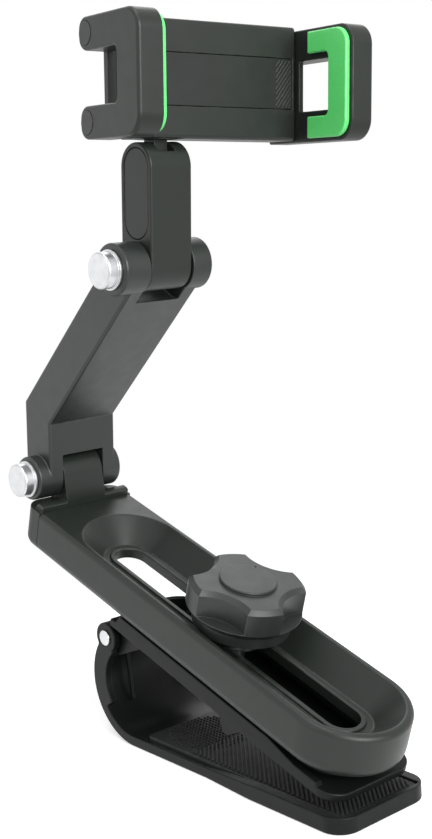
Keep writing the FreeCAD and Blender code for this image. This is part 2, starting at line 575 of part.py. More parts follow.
def knob():
    """Fluted clamping knob: hub, skirt, four lobes, bevelled top and a raised disc."""
    body = new_body("knob")
    seat = "(%s + lip_rise + washer_thick + seat_gap)" % FLOOR
    grow(body, "hub", "XY", seat, "skirt_rise", lambda d: d.circle("knob_x", 0, "hub_r"))
    grow(body, "skirt", "XY", "skirt_low", "skirt_rise", lambda d: d.circle("knob_x", 0, "skirt_r"))
    grow(body, "head", "XY", "skirt_rise - 2.6", "knob_rise", lambda d: d.circle(
        "knob_x", 0, "knob_r"))
    soften(body, "under_bevel", "knob_r - skirt_r - 0.3", lambda e: level(
        e, "z", "skirt_rise - 2.6") and (e.BoundBox.YMax > val("knob_r - 0.1")), bevel=True)
    offset = "(knob_r + knob_flute_r - knob_flute_depth)"
    for i in range(4):
        angle = "knob_turn + %d" % (90 * i)
        carve(body, "flute_%d" % i, "XY", "skirt_rise - 0.4", "knob_rise + 1",
              lambda d: d.circle("knob_x + %s * cos(%s)" % (offset, angle),
                                 "%s * sin(%s)" % (offset, angle), "knob_flute_r"))
    soften(body, "top_bevel", "1.2", lambda e: level(e, "z", "knob_rise"), bevel=True)
    grow(body, "disc", "XY", "knob_rise - 0.5", "knob_rise + knob_disc_rise", lambda d: d.circle(
        "knob_x", 0, "knob_disc_r"))
    soften(body, "disc_edge", "knob_disc_rise / 2", lambda e: level(
        e, "z", "knob_rise + knob_disc_rise"))
    carve(body, "insert_seat", "XY", "%s - 1" % seat, "%s + insert_rise" % seat,
          lambda d: d.circle("knob_x", 0, "insert_r + seat_gap"))
    body.Placement = rail_place()
    return body


def knob_insert():
    """Threaded insert pressed into the knob."""
    body = new_body("knob_insert")
    seat = "(%s + lip_rise + washer_thick + seat_gap)" % FLOOR
    grow(body, "sleeve", "XY", "%s + seat_gap" % seat, "%s + insert_rise - seat_gap" % seat,
         lambda d: (d.circle("knob_x", 0, "insert_r"),
                    d.circle("knob_x", 0, "bolt_r + pin_fit")))
    body.Placement = rail_place()
    return body


def knob_washer():
    """Plain washer between the knob and the slot's lip."""
    body = new_body("knob_washer")
    seat = "(%s + lip_rise)" % FLOOR
    grow(body, "ring", "XY", seat, "%s + washer_thick" % seat, lambda d: (
        d.circle("knob_x", 0, "washer_r"), d.circle("knob_x", 0, "bolt_r + pin_fit")))
    body.Placement = rail_place()
    return body


LEAN = "atan((upper_hinge_x - lower_hinge_x) / (upper_hinge_z - bend_z))"
HINGES = (("upper", "upper_hinge_x", "upper_hinge_z", "barrel_r"),
          ("lower", "lower_hinge_x", "lower_hinge_z", "knuckle_r"))
BARREL_LEFT = "(fork_width / 2 + boss_left)"
BARREL_RIGHT = "(fork_width / 2 + boss_right)"
PLUG_SEAT = "(%s - plug_thick - seat_gap)" % BARREL_RIGHT
NUT_SEAT = "(%s - nut_thick - 2 * seat_gap)" % PLUG_SEAT


def lower_arm():
    """Cranked arm with a fork and pin barrels at both ends."""
    body = new_body("lower_arm")
    half = "arm_thick / 2"
    grow(body, "slab", "XZ", "-fork_width / 2", "fork_width / 2", lambda d: d.polygon([
        ("upper_hinge_x - %s * cos(%s)" % (half, LEAN), "upper_hinge_z + %s * sin(%s)" % (half, LEAN)),
        ("lower_hinge_x - %s" % half, "bend_z + %s * tan(%s / 2)" % (half, LEAN)),
        ("lower_hinge_x - %s" % half, "lower_hinge_z"), ("lower_hinge_x + %s" % half, "lower_hinge_z"),
        ("lower_hinge_x + %s" % half, "bend_z - %s * tan(%s / 2)" % (half, LEAN)),
        ("upper_hinge_x + %s * cos(%s)" % (half, LEAN), "upper_hinge_z - %s * sin(%s)" % (half, LEAN)),
    ]))
    soften(body, "long_edges", "1.0", lambda e: near(abs(e.CenterOfMass.y), "fork_width / 2") and (
        e.Curve.TypeId == "Part::GeomLine" and e.BoundBox.ZLength > 5))
    for name, x, z, radius in HINGES:
        grow(body, name + "_barrel", "XZ", "-" + BARREL_LEFT, BARREL_RIGHT,
             lambda d: d.circle(x, z, radius))
        soften(body, name + "_barrel_edge", 0.8, lambda e: (
            level(e, "y", "-" + BARREL_LEFT) or level(e, "y", BARREL_RIGHT))
            and near(e.CenterOfMass.x, x, 1.0))
    fork = "knuckle_width / 2 + running_gap"
    for name, x, z, radius in HINGES:
        carve(body, name + "_fork", "XZ", "-(%s)" % fork, fork, lambda d: d.circle(
            x, z, "fork_reach"))
    for name, x, z, radius in HINGES:
        carve(body, name + "_bore", "XZ", "-%s - 1" % BARREL_LEFT, BARREL_RIGHT + " + 1",
              lambda d: d.circle(x, z, "pin_r + pin_fit"))
        carve(body, name + "_nut_seat", "XZ", NUT_SEAT, BARREL_RIGHT + " + 1",
              lambda d: d.circle(x, z, "plug_r + seat_gap"))
    body.Placement = stance_place()
    return body


def hinge_pins():
    """The two headed hinge pins with their flanged bright caps."""
    body = new_body("hinge_pins")
    seat = "(-%s - seat_gap)" % BARREL_LEFT
    for name, x, z, radius in HINGES:
        grow(body, name + "_cap", "XZ", "%s - pin_flange_thick - pin_cap_length" % seat,
             "%s - pin_flange_thick + 0.2" % seat, lambda d: d.circle(x, z, "pin_cap_r"))
        soften(body, name + "_cap_edge", 0.7, lambda e: level(
            e, "y", "%s - pin_flange_thick - pin_cap_length" % seat)
            and near(e.CenterOfMass.x, x, 1.0))
        grow(body, name + "_flange", "XZ", "%s - pin_flange_thick" % seat, seat,
             lambda d: d.circle(x, z, "pin_flange_r"))
        grow(body, name + "_shank", "XZ", "%s - 0.2" % seat, PLUG_SEAT + " - seat_gap",
             lambda d: d.circle(x, z, "pin_r"))
    body.Placement = stance_place()
    return body


def pin_nuts():
    """Hexagon nuts on the far ends of the hinge pins."""
    body = new_body("pin_nuts")
    for name, x, z, radius in HINGES:
        corners = [("%s + nut_r * cos(%d)" % (x, a), "%s + nut_r * sin(%d)" % (z, a))
                   for a in range(0, 360, 60)]
        grow(body, name + "_nut", "XZ", NUT_SEAT + " + seat_gap", PLUG_SEAT + " - seat_gap",
             lambda d: (d.polygon(corners), d.circle(x, z, "pin_r + pin_fit")))
    body.Placement = stance_place()
    return body


def barrel_plugs():
    """Press-in discs that close the nut ends of the barrels."""
    body = new_body("barrel_plugs")
    for name, x, z, radius in HINGES:
        grow(body, name + "_plug", "XZ", PLUG_SEAT, BARREL_RIGHT + " - seat_gap",
             lambda d: d.circle(x, z, "plug_r"))
    body.Placement = stance_place()
    return body


def upper_arm():
    """Upright arm: knuckle below, side recesses for panels, slotted round top."""
    body = new_body("upper_arm")
    half = "arm_thick / 2"
    side = "knuckle_width / 2"
    grow(body, "web", "XZ", "-%s" % side, side, lambda d: d.pill(
        "upper_hinge_x", "upper_hinge_z", TILT_Z, half))
    soften(body, "edges", 0.6, lambda e: near(abs(e.CenterOfMass.y), side))
    for name, low, high in (("left", "-%s - 1" % side, "-%s + panel_depth" % side),
                            ("right", "%s - panel_depth" % side, "%s + 1" % side)):
        carve(body, name + "_recess", "XZ", low, high, lambda d: d.pill(
            "upper_hinge_x", "upper_hinge_z + knuckle_r + 6", TILT_Z, "%s - panel_margin" % half))
    carve(body, "tongue_slot", "XZ", "-tilt_slot_width / 2", "tilt_slot_width / 2",
          lambda d: d.box("upper_hinge_x - tilt_slot_reach", "upper_hinge_x + tilt_slot_reach",
                          "%s - tilt_slot_reach" % TILT_Z, "upper_arm_top + 1"))
    carve(body, "bore", "XZ", "-%s - 1" % side, "%s + 1" % side, lambda d: d.circle(
        "upper_hinge_x", "upper_hinge_z", "pin_r + pin_fit"))
    carve(body, "tilt_bore", "XZ", "-%s - 1" % side, "%s + 1" % side, lambda d: d.circle(
        "upper_hinge_x", TILT_Z, "tilt_pin_r + pin_fit"))
    body.Placement = stance_place()
    return body


def arm_panels():
    """Inset side panels of the upright arm."""
    body = new_body("arm_panels")
    half = "(arm_thick / 2 - panel_margin - inset_gap)"
    side = "(knuckle_width / 2)"
    for name, low, high in (("left", "-%s + 0.2" % side, "-%s + panel_depth - seat_gap" % side),
                            ("right", "%s - panel_depth + seat_gap" % side, "%s - 0.2" % side)):
        grow(body, name + "_panel", "XZ", low, high, lambda d: d.pill(
            "upper_hinge_x", "upper_hinge_z + knuckle_r + 6", TILT_Z, half))
    body.Placement = stance_place()
    return body


def tilt_pin():
    """Cross pin in the top of the upright arm."""
    body = new_body("tilt_pin")
    side = "(knuckle_width / 2 - panel_depth - seat_gap)"
    grow(body, "pin", "XZ", "-%s" % side, side, lambda d: d.circle(
        "upper_hinge_x", TILT_Z, "tilt_pin_r"))
    body.Placement = stance_place()
    return body


def swivel_base():
    """Swivel: tongue on the tilt pin, round flange and a stem into the clamp."""
    body = new_body("swivel_base")
    thick = "(tilt_slot_width / 2 - 1.5 * running_gap)"
    grow(body, "tongue", "XZ", "-%s" % thick, thick, lambda d: d.circle(0, 0, "tongue_r"))
    grow(body, "neck", "XZ", "-%s" % thick, thick, lambda d: d.box(
        "-neck_half", "neck_half", "0", DISC_LOW + " + 0.4"))
    grow(body, "flange", "XY", DISC_LOW, DISC_LOW + " + swivel_thick", lambda d: d.circle(
        0, 0, "swivel_r"))
    grow(body, "stem", "XY", DISC_LOW + " + 0.3", STEM_SEAT + " + 2.6",
         lambda d: d.circle(0, 0, "stem_r"))
    carve(body, "bore", "XZ", "-%s - 1" % thick, "%s + 1" % thick, lambda d: d.circle(
        0, 0, "tilt_pin_r + 2 * pin_fit"))
    carve(body, "clip_groove", "XY", STEM_SEAT, STEM_SEAT + " + 1.0",
          lambda d: (d.circle(0, 0, "stem_r + 1"), d.circle(0, 0, "stem_r - 0.6")))
    body.Placement = tilt_place(yaw=False)
    return body


def stem_clip():
    """Retaining ring in the stem's groove, inside the clamp."""
    body = new_body("stem_clip")
    low = STEM_SEAT
    grow(body, "ring", "XY", low + " + seat_gap", low + " + 1.0 - seat_gap", lambda d: (
        d.circle(0, 0, "stem_r + 0.7"), d.circle(0, 0, "stem_r - 0.6 + pin_fit")))
    body.Placement = tilt_place(yaw=False)
    return body


TOP = "(%s + body_height)" % BASE
MID = "(%s + body_height / 2)" % BASE
BACK = "(-body_back + back_thick)"
EAR_LOW = "(%s - ear_drop - ear_height / 2)" % MID
EAR_HIGH = "(%s - ear_drop + ear_height / 2)" % MID
EAR_FRONT = "(body_front + ear_reach)"
SCREW_LOW = BASE + " + screw_inset"
SCREW_HIGH = TOP + " - screw_inset"
SCREW_RIGHT = RIGHT + " - screw_inset"
SCREWS = [("stem_r + 6", SCREW_LOW), (THICK_LEFT + " + screw_inset", SCREW_HIGH),
          (SCREW_RIGHT, SCREW_LOW), (SCREW_RIGHT, SCREW_HIGH)]


def clamp_housing():
    """Front half of the clamp body: face plate, hollow box, screw posts and slide mouth."""
    body = new_body("clamp_front_housing")
    grow(body, "face", "YZ", "body_front - face_thick", "body_front", lambda d: d.box(
        LEFT, RIGHT, BASE, TOP))
    grow(body, "box", "YZ", BACK, "body_front", lambda d: d.box(THICK_LEFT, RIGHT, BASE, TOP))
    soften(body, "front_edges", "1.2", lambda e: along(e, "y") and near(
        e.CenterOfMass.x, "body_front"))
    carve(body, "hollow", "YZ", BACK + " - 1", "body_front - body_wall", lambda d: d.box(
        THICK_LEFT + " + body_wall", RIGHT + " - body_wall", BASE + " + base_wall",
        TOP + " - body_wall"))
    for i, (y, z) in enumerate(SCREWS):
        grow(body, "post_%d" % i, "YZ", BACK, "body_front - body_wall + 0.3",
             lambda d: d.circle(y, z, "screw_r + 1.3"))
        carve(body, "post_bore_%d" % i, "YZ", BACK + " - 1", BACK + " + 6.2",
              lambda d: d.circle(y, z, "screw_r + pin_fit"))
    gap = "running_gap"
    carve(body, "slide_mouth", "XZ", RIGHT + " - body_wall - 1", RIGHT + " + 1", lambda d: d.box(
        "slide_x - %s" % gap, "slide_x + slide_thick + %s" % gap,
        "%s - slide_height / 2 - %s" % (MID, gap), "%s + slide_height / 2 + %s" % (MID, gap)))
    carve(body, "stem_hole", "XY", BASE + " - 1", BASE + " + base_wall + 1", lambda d: d.circle(
        0, 0, "stem_r + pin_fit"))
    carve(body, "flange_seat", "XY", BASE + " - 1", DISC_LOW + " + swivel_thick + running_gap",
          lambda d: d.circle(0, 0, "swivel_r + running_gap"))
    carve(body, "strip_seat", "YZ", "body_front - strip_depth", "body_front + 1", lambda d: d.box(
        LEFT + " + strip_left", RIGHT + " - strip_depth", MID + " - strip_half", MID + " + strip_half"))
    body.Placement = tilt_place()
    return body


def clamp_strip():
    """Flush centre strip in the clamp's front face."""
    body = new_body("clamp_strip")
    grow(body, "strip", "YZ", "body_front - strip_depth + seat_gap", "body_front - seat_gap",
         lambda d: d.box(LEFT + " + strip_left + inset_gap",
                         RIGHT + " - strip_depth - inset_gap",
                         MID + " - strip_half + inset_gap", MID + " + strip_half - inset_gap"))
    body.Placement = tilt_place()
    return body


def clamp_back():
    """Back cover of the clamp with countersunk screw seats."""
    body = new_body("clamp_back_cover")
    grow(body, "plate", "YZ", "-body_back", BACK + " - seat_gap", lambda d: d.box(
        THICK_LEFT, RIGHT, BASE, TOP))
    soften(body, "edges", "1.2", lambda e: level(e, "x", "-body_back"))
    carve(body, "flange_seat", "XY", BASE + " - 1", DISC_LOW + " + swivel_thick + running_gap",
          lambda d: d.circle(0, 0, "swivel_r + running_gap"))
    for i, (y, z) in enumerate(SCREWS):
        carve(body, "hole_%d" % i, "YZ", "-body_back - 1", BACK + " + 1", lambda d: d.circle(
            y, z, "screw_r + pin_fit"))
        carve(body, "seat_%d" % i, "YZ", "-body_back - 1", "-body_back + screw_head_thick",
              lambda d: d.circle(y, z, "screw_head_r + seat_gap"))
    body.Placement = tilt_place()
    return body


def clamp_screws():
    """Four screws that hold the back cover."""
    body = new_body("clamp_screws")
    for i, (y, z) in enumerate(SCREWS):
        grow(body, "head_%d" % i, "YZ", "-body_back + 0.1",
             "-body_back + screw_head_thick - seat_gap", lambda d: d.circle(y, z, "screw_head_r"))
        grow(body, "shank_%d" % i, "YZ", "-body_back + screw_head_thick - 0.3", BACK + " + 5.6",
             lambda d: d.circle(y, z, "screw_r"))
        carve(body, "drive_%d" % i, "YZ", "-body_back", "-body_back + 0.8", lambda d: d.polygon([
            ("%s + 0.9 * cos(%d)" % (y, a), "%s + 0.9 * sin(%d)" % (z, a))
            for a in range(0, 360, 60)]))
    body.Placement = tilt_place()
    return body


def ear_outline(d, start, bar):
    """Outline of an ear seen along the grip: two legs joined by a bar in front, open at the back."""
    inner = "%s - %s" % (EAR_FRONT, bar)
    d.polygon([(start, EAR_LOW), (EAR_FRONT, EAR_LOW), (EAR_FRONT, EAR_HIGH), (start, EAR_HIGH),
               (start, EAR_HIGH + " - ear_leg"), (inner, EAR_HIGH + " - ear_leg"),
               (inner, EAR_LOW + " + ear_leg"), (start, EAR_LOW + " + ear_leg")])


def round_ear(body, bar):
    """Large outer corners and small inner corners of an ear."""
    for name, radius, x in (("corners", "ear_round", EAR_FRONT),
                            ("window_corners", "1.6", "%s - %s" % (EAR_FRONT, bar))):
        soften(body, name, radius, lambda e: along(e, "y") and near(e.CenterOfMass.x, x))


def ear_cover_spots():
    x = "body_front - leg_start + cover_r + 0.8"
    return [(x, EAR_LOW + " + ear_leg / 2"), (x, EAR_HIGH + " - ear_leg / 2")]


def left_ear():
    """Fixed ear: two legs, rounded cross bar and a thin inner plate on the face plate's end."""
    body = new_body("fixed_ear")
    outer = LEFT + " - ear_width"
    inner = LEFT + " - seat_gap"
    start = "body_front - leg_start"
    grow(body, "loop", "XZ", outer, inner, lambda d: ear_outline(d, start, "fixed_bar"))
    round_ear(body, "fixed_bar")
    soften(body, "leg_ends", "leg_round", lambda e: along(e, "y") and near(
        e.CenterOfMass.x, start))
    soften(body, "rim", "1.0", lambda e: level(e, "y", outer) and e.BoundBox.XMax > val(
        EAR_FRONT + " - ear_round - 0.1"))
    grow(body, "inner_plate", "XZ", inner + " - face_thick", inner, lambda d: d.box(
        "body_front - face_thick", "body_front + 0.4", EAR_LOW + " + 1", EAR_HIGH + " - 1"))
    for name, low, high in (("low", BASE + " + 1.5", BASE + " + 7.5"),
                            ("high", TOP + " - 7.5", TOP + " - 1.5")):
        grow(body, name + "_tongue", "XZ", inner + " - face_thick", THICK_LEFT + " - 0.4",
             lambda d: d.box("body_front - 4", "body_front - face_thick - seat_gap", low, high))
    for i, (x, z) in enumerate(ear_cover_spots()):
        carve(body, "cover_seat_%d" % i, "XZ", outer + " - 1", outer + " + 1.0",
              lambda d: d.circle(x, z, "cover_r + seat_gap"))
    body.Placement = tilt_place()
    return body


def ear_covers():
    """Round covers over the fixed ear's screws."""
    body = new_body("ear_screw_covers")
    outer = LEFT + " - ear_width"
    for i, (x, z) in enumerate(ear_cover_spots()):
        grow(body, "disc_%d" % i, "XZ", outer + " - 0.15", outer + " + 1.0 - seat_gap",
             lambda d: d.circle(x, z, "cover_r"))
    body.Placement = tilt_place()
    return body


def right_ear():
    """Sliding ear: legs and bar, a thin bridge at the body and the slide plate that runs in it."""
    body = new_body("sliding_ear")
    inner = RIGHT + " + running_gap"
    outer = inner + " + ear_width"
    grow(body, "loop", "XZ", inner, outer, lambda d: ear_outline(d, "-body_back", "ear_bar"))
    round_ear(body, "ear_bar")
    soften(body, "rim", "1.0", lambda e: level(e, "y", outer) and (
        near(e.BoundBox.ZMax, EAR_HIGH) or near(e.BoundBox.ZMin, EAR_LOW)
        or near(e.BoundBox.XMax, EAR_FRONT)))
    grow(body, "bridge", "XZ", inner, inner + " + bridge_thick", lambda d: d.box(
        "-body_back", "body_front + window_bar", EAR_LOW + " + ear_leg - 0.5",
        EAR_HIGH + " - ear_leg + 0.5"))
    grow(body, "slide", "XZ", RIGHT + " - slide_length", inner + " + bridge_thick", lambda d: d.box(
        "slide_x", "slide_x + slide_thick", MID + " - slide_height / 2",
        MID + " + slide_height / 2"))
    body.Placement = tilt_place()
    return body


def ear_pad(name, bar, low, high):
    """Soft green pad on the phone side of an ear."""
    body = new_body(name)
    edge = "pad_border"
    start = "body_front + pad_start"
    inner = "%s - %s - 0.02" % (EAR_FRONT, bar)
    low_z, high_z = "%s + %s" % (EAR_LOW, edge), "%s - %s" % (EAR_HIGH, edge)
    leg_low, leg_high = EAR_LOW + " + ear_leg - pad_step", EAR_HIGH + " - ear_leg + pad_step"
    front = "%s - %s" % (EAR_FRONT, edge)
    points = [(start, low_z), (front, low_z), (front, high_z), (start, high_z),
              (start, leg_high), (inner, leg_high), (inner, leg_low), (start, leg_low)]
    grow(body, "sheet", "XZ", low, high, lambda d: d.polygon(points))
    soften(body, "corners", "ear_round - pad_border", lambda e: along(e, "y") and near(
        e.CenterOfMass.x, front))
    soften(body, "window_corners", "1.6", lambda e: along(e, "y") and near(
        e.CenterOfMass.x, inner))
    body.Placement = tilt_place()
    return body


def jaw_springs():
    """Two close-wound return springs from the clamp's left wall to the slide."""
    body = new_body("jaw_springs")
    for i, side in enumerate(("-", "+")):
        x, z = "slide_x - pull_drop", MID + " %s pull_spread" % side
        grow(body, "coil_%d" % i, "XZ", THICK_LEFT + " + body_wall + running_gap",
             RIGHT + " - pull_stop", lambda d: (
                 d.circle(x, z, "pull_coil_r"), d.circle(x, z, "pull_coil_r - pull_wire")))
    body.Placement = tilt_place()
    return body


def main():
    parts = [
        lower_jaw(), lower_jaw_pad(), upper_jaw(), upper_jaw_pad(), clip_eyelets(), clip_spring(),
        clamp_bolt(), rail_housing(), rail_base(), rail_hinge_block(), knob(), knob_insert(),
        knob_washer(), lower_arm(), hinge_pins(), pin_nuts(), barrel_plugs(), upper_arm(),
        arm_panels(), tilt_pin(), swivel_base(), stem_clip(), clamp_housing(), clamp_strip(),
        clamp_back(), clamp_screws(), left_ear(),
        ear_pad("left_pad", "fixed_bar", LEFT, LEFT + " + pad_depth"), ear_covers(), right_ear(),
        ear_pad("right_pad", "ear_bar", RIGHT + " + running_gap - pad_depth",
                RIGHT + " + running_gap"),
        jaw_springs(),
    ]
    doc.recompute()
    for obj in doc.Objects:
        if "Invalid" in obj.State or "Error" in obj.State:
            raise RuntimeError("%s is in state %s" % (obj.Label, obj.State))
    os.makedirs("parts", exist_ok=True)
    for body in parts:
        if body.Shape.isNull() or not body.Shape.isValid():
            raise RuntimeError("%s has no sound shape" % body.Label)
        body.Shape.exportStep("parts/%s.step" % body.Label)


main()
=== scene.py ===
"""Sun-visor phone holder: dressed pieces, finishes, studio and camera.

Metres, in the frame of the solids: +Z up, +X along the rail towards its round nose, +Y along the
hinge pins. Each plastic moulding is a bevelled copy of its solid; pads, ribs and springs are made here.
"""

import itertools
import json
import math

import bmesh
import bpy
from mathutils import Matrix, Vector


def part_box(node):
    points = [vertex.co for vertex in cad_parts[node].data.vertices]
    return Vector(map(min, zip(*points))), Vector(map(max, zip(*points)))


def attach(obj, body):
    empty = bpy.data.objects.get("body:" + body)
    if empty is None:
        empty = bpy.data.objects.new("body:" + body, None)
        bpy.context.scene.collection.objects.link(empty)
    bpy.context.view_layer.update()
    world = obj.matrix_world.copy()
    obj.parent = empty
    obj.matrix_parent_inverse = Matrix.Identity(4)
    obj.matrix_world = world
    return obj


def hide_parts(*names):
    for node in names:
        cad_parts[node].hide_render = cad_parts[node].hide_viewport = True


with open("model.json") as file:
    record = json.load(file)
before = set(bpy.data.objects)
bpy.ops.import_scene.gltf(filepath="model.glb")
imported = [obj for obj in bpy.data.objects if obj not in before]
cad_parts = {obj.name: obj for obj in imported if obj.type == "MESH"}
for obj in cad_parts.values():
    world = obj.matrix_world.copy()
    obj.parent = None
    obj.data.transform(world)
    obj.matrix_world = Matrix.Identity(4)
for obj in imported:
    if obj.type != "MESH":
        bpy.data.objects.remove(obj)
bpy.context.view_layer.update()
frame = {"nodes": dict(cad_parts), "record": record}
scene = bpy.context.scene
BEHAVIOUR = frame["record"]["behaviour"]
BODY_OF = {node: body for body, nodes in BEHAVIOUR["bodies"].items() for node in nodes}
JOINTS = {joint["name"]: joint for joint in BEHAVIOUR["joints"]}
MM = 0.001
WELD = 2e-6  # points closer than this are one point
FLAT = math.radians(0.6)  # faces that meet at less than this are one flat face
CREASE = 32  # degrees between the faces of an edge that gets rounded
SMOOTH = 30.0  # degrees up to which neighbouring faces shade as one
SMOOTH_WIRE = 60.0
BEVEL_SHARES = (1.0, 0.6, 0.35, 0.2)  # of the wanted width, tried in turn
FOLD = 0.12 * MM ** 2  # most area that a sound bevel turns over
GROWTH = 0.05 * MM  # most that a sound bevel stands out of its solid
VOLUME_CHANGE = 0.05  # largest share of the volume that a sound bevel takes away
GRAIN_DEPTH, LINE_DEPTH = 0.00006, 0.00003


def shader_group(name, inputs, outputs):
    """Empty shader group with named sockets; returns it with its input and output nodes."""
    group = bpy.data.node_groups.new(name, "ShaderNodeTree")
    for label, kind, value in inputs:
        socket = group.interface.new_socket(label, in_out="INPUT", socket_type=kind)
        socket.default_value = value
    for label, kind in outputs:
        group.interface.new_socket(label, in_out="OUTPUT", socket_type=kind)
    return group, group.nodes.new("NodeGroupInput"), group.nodes.new("NodeGroupOutput")


def add(tree, kind, **settings):
    """New node with properties, or with input values where the name starts with in_."""
    node = tree.nodes.new(kind)
    for key, value in settings.items():
        if key.startswith("in_"):
            name = key[3:]
            node.inputs[int(name) if name.isdigit() else name].default_value = value
        else:
            setattr(node, key, value)
    return node


FLOAT, COLOUR = "NodeSocketFloat", "NodeSocketColor"


def moulded_grain_group():
    """Fine spark-eroded grain with slow changes of shade and gloss."""
    group, inp, out = shader_group(
        "moulded_grain",
        [("Colour", COLOUR, (0.03, 0.03, 0.03, 1)), ("Shade Spread", FLOAT, 0.15),
         ("Grain Scale", FLOAT, 2500.0), ("Roughness", FLOAT, 0.45), ("Gloss Spread", FLOAT, 0.1)],
        [("Colour", COLOUR), ("Roughness", FLOAT), ("Height", FLOAT)])
    link = group.links.new
    place = add(group, "ShaderNodeTexCoord")
    slow = add(group, "ShaderNodeTexNoise", in_Scale=45.0, in_Detail=3.0)
    fine = add(group, "ShaderNodeTexNoise", in_Detail=2.0, in_Roughness=0.6)
    mid = add(group, "ShaderNodeTexNoise", in_Scale=260.0, in_Detail=4.0)
    for noise in (slow, fine, mid):
        link(place.outputs["Object"], noise.inputs["Vector"])
    link(inp.outputs["Grain Scale"], fine.inputs["Scale"])
    centred = add(group, "ShaderNodeMath", operation="SUBTRACT", in_1=0.5)
    link(slow.outputs["Fac"], centred.inputs[0])
    shade = add(group, "ShaderNodeMath", operation="MULTIPLY_ADD", in_2=1.0)
    link(centred.outputs[0], shade.inputs[0])
    link(inp.outputs["Shade Spread"], shade.inputs[1])
    speck = add(group, "ShaderNodeMath", operation="MULTIPLY_ADD", in_1=0.24, in_2=0.88)
    link(fine.outputs["Fac"], speck.inputs[0])
    both = add(group, "ShaderNodeMath", operation="MULTIPLY")
    link(shade.outputs[0], both.inputs[0])
    link(speck.outputs[0], both.inputs[1])
    tint = add(group, "ShaderNodeVectorMath", operation="SCALE")
    link(inp.outputs["Colour"], tint.inputs[0])
    link(both.outputs[0], tint.inputs["Scale"])
    link(tint.outputs[0], out.inputs["Colour"])
    gloss = add(group, "ShaderNodeMath", operation="SUBTRACT", in_1=0.5)
    link(mid.outputs["Fac"], gloss.inputs[0])
    rough = add(group, "ShaderNodeMath", operation="MULTIPLY_ADD", use_clamp=True)
    link(gloss.outputs[0], rough.inputs[0])
    link(inp.outputs["Gloss Spread"], rough.inputs[1])
    link(inp.outputs["Roughness"], rough.inputs[2])
    link(rough.outputs[0], out.inputs["Roughness"])
    link(fine.outputs["Fac"], out.inputs["Height"])
    return group


def edge_rub_group():
    """Patchy lighter rub along the bevelled edges, from the piece's own edge attribute."""
    group, inp, out = shader_group(
        "edge_rub",
        [("Colour", COLOUR, (0.03, 0.03, 0.03, 1)), ("Rubbed Colour", COLOUR, (0.1, 0.1, 0.1, 1)),
         ("Amount", FLOAT, 0.5)],
        [("Colour", COLOUR), ("Mask", FLOAT)])
    link = group.links.new
    edge = add(group, "ShaderNodeAttribute", attribute_name="edge", attribute_type="GEOMETRY")
    place = add(group, "ShaderNodeTexCoord")
    patches = add(group, "ShaderNodeTexNoise", in_Scale=320.0, in_Detail=5.0, in_Roughness=0.65)
    link(place.outputs["Object"], patches.inputs["Vector"])
    ramp = add(group, "ShaderNodeMapRange", in_1=0.42, in_2=0.68)
    link(patches.outputs["Fac"], ramp.inputs[0])
    worn = add(group, "ShaderNodeMath", operation="MULTIPLY")
    link(edge.outputs["Fac"], worn.inputs[0])
    link(ramp.outputs[0], worn.inputs[1])
    mask = add(group, "ShaderNodeMath", operation="MULTIPLY", use_clamp=True)
    link(worn.outputs[0], mask.inputs[0])
    link(inp.outputs["Amount"], mask.inputs[1])
    mix = add(group, "ShaderNodeMix", data_type="RGBA")
    link(mask.outputs[0], mix.inputs["Factor"])
    link(inp.outputs["Colour"], mix.inputs["A"])
    link(inp.outputs["Rubbed Colour"], mix.inputs["B"])
    link(mix.outputs["Result"], out.inputs["Colour"])
    link(mask.outputs[0], out.inputs["Mask"])
    return group


def turned_metal_group():
    """Fine turning lines round the Y direction with a faint stain."""
    group, inp, out = shader_group(
        "turned_metal",
        [("Colour", COLOUR, (0.6, 0.6, 0.6, 1)), ("Roughness", FLOAT, 0.2),
         ("Line Scale", FLOAT, 9000.0)],
        [("Colour", COLOUR), ("Roughness", FLOAT), ("Height", FLOAT)])
    link = group.links.new
    place = add(group, "ShaderNodeTexCoord")
    squeeze = add(group, "ShaderNodeMapping", in_Scale=(0.12, 1.0, 0.12))
    link(place.outputs["Object"], squeeze.inputs["Vector"])
    lines = add(group, "ShaderNodeTexNoise", in_Detail=2.0)
    link(squeeze.outputs[0], lines.inputs["Vector"])
    link(inp.outputs["Line Scale"], lines.inputs["Scale"])
    stain = add(group, "ShaderNodeTexNoise", in_Scale=420.0, in_Detail=4.0)
    link(place.outputs["Object"], stain.inputs["Vector"])
    shade = add(group, "ShaderNodeMapRange", in_1=0.3, in_2=0.7, in_3=0.9, in_4=1.04)
    link(stain.outputs["Fac"], shade.inputs[0])
    tint = add(group, "ShaderNodeVectorMath", operation="SCALE")
    link(inp.outputs["Colour"], tint.inputs[0])
    link(shade.outputs[0], tint.inputs["Scale"])
    link(tint.outputs[0], out.inputs["Colour"])
    rough = add(group, "ShaderNodeMath", operation="MULTIPLY_ADD", in_1=0.14, use_clamp=True)
    link(lines.outputs["Fac"], rough.inputs[0])
    link(inp.outputs["Roughness"], rough.inputs[2])
    link(rough.outputs[0], out.inputs["Roughness"])
    link(lines.outputs["Fac"], out.inputs["Height"])
    return group


GRAIN, RUB, TURNED = moulded_grain_group(), edge_rub_group(), turned_metal_group()


def linear(red, green, blue):
    """Linear colour of an sRGB colour given in 0 to 255."""
    def one(value):
        value /= 255
        return value / 12.92 if value <= 0.04045 else ((value + 0.055) / 1.055) ** 2.4
    return one(red), one(green), one(blue), 1.0


def use_group(tree, group, **values):
    """Node that uses a shader group, with values for its named inputs."""
    node = tree.nodes.new("ShaderNodeGroup")
    node.node_tree = group
    for label, value in values.items():
        node.inputs[label.replace("_", " ")].default_value = value
    return node


def new_finish(name, **constants):
    """Material with its Principled shader, whose constants are set on the shader itself."""
    material = bpy.data.materials.new(name)
    material.use_nodes = True
    shader = material.node_tree.nodes["Principled BSDF"]
    for label, value in constants.items():
        shader.inputs[label.replace("_", " ")].default_value = value
    return material, material.node_tree, shader


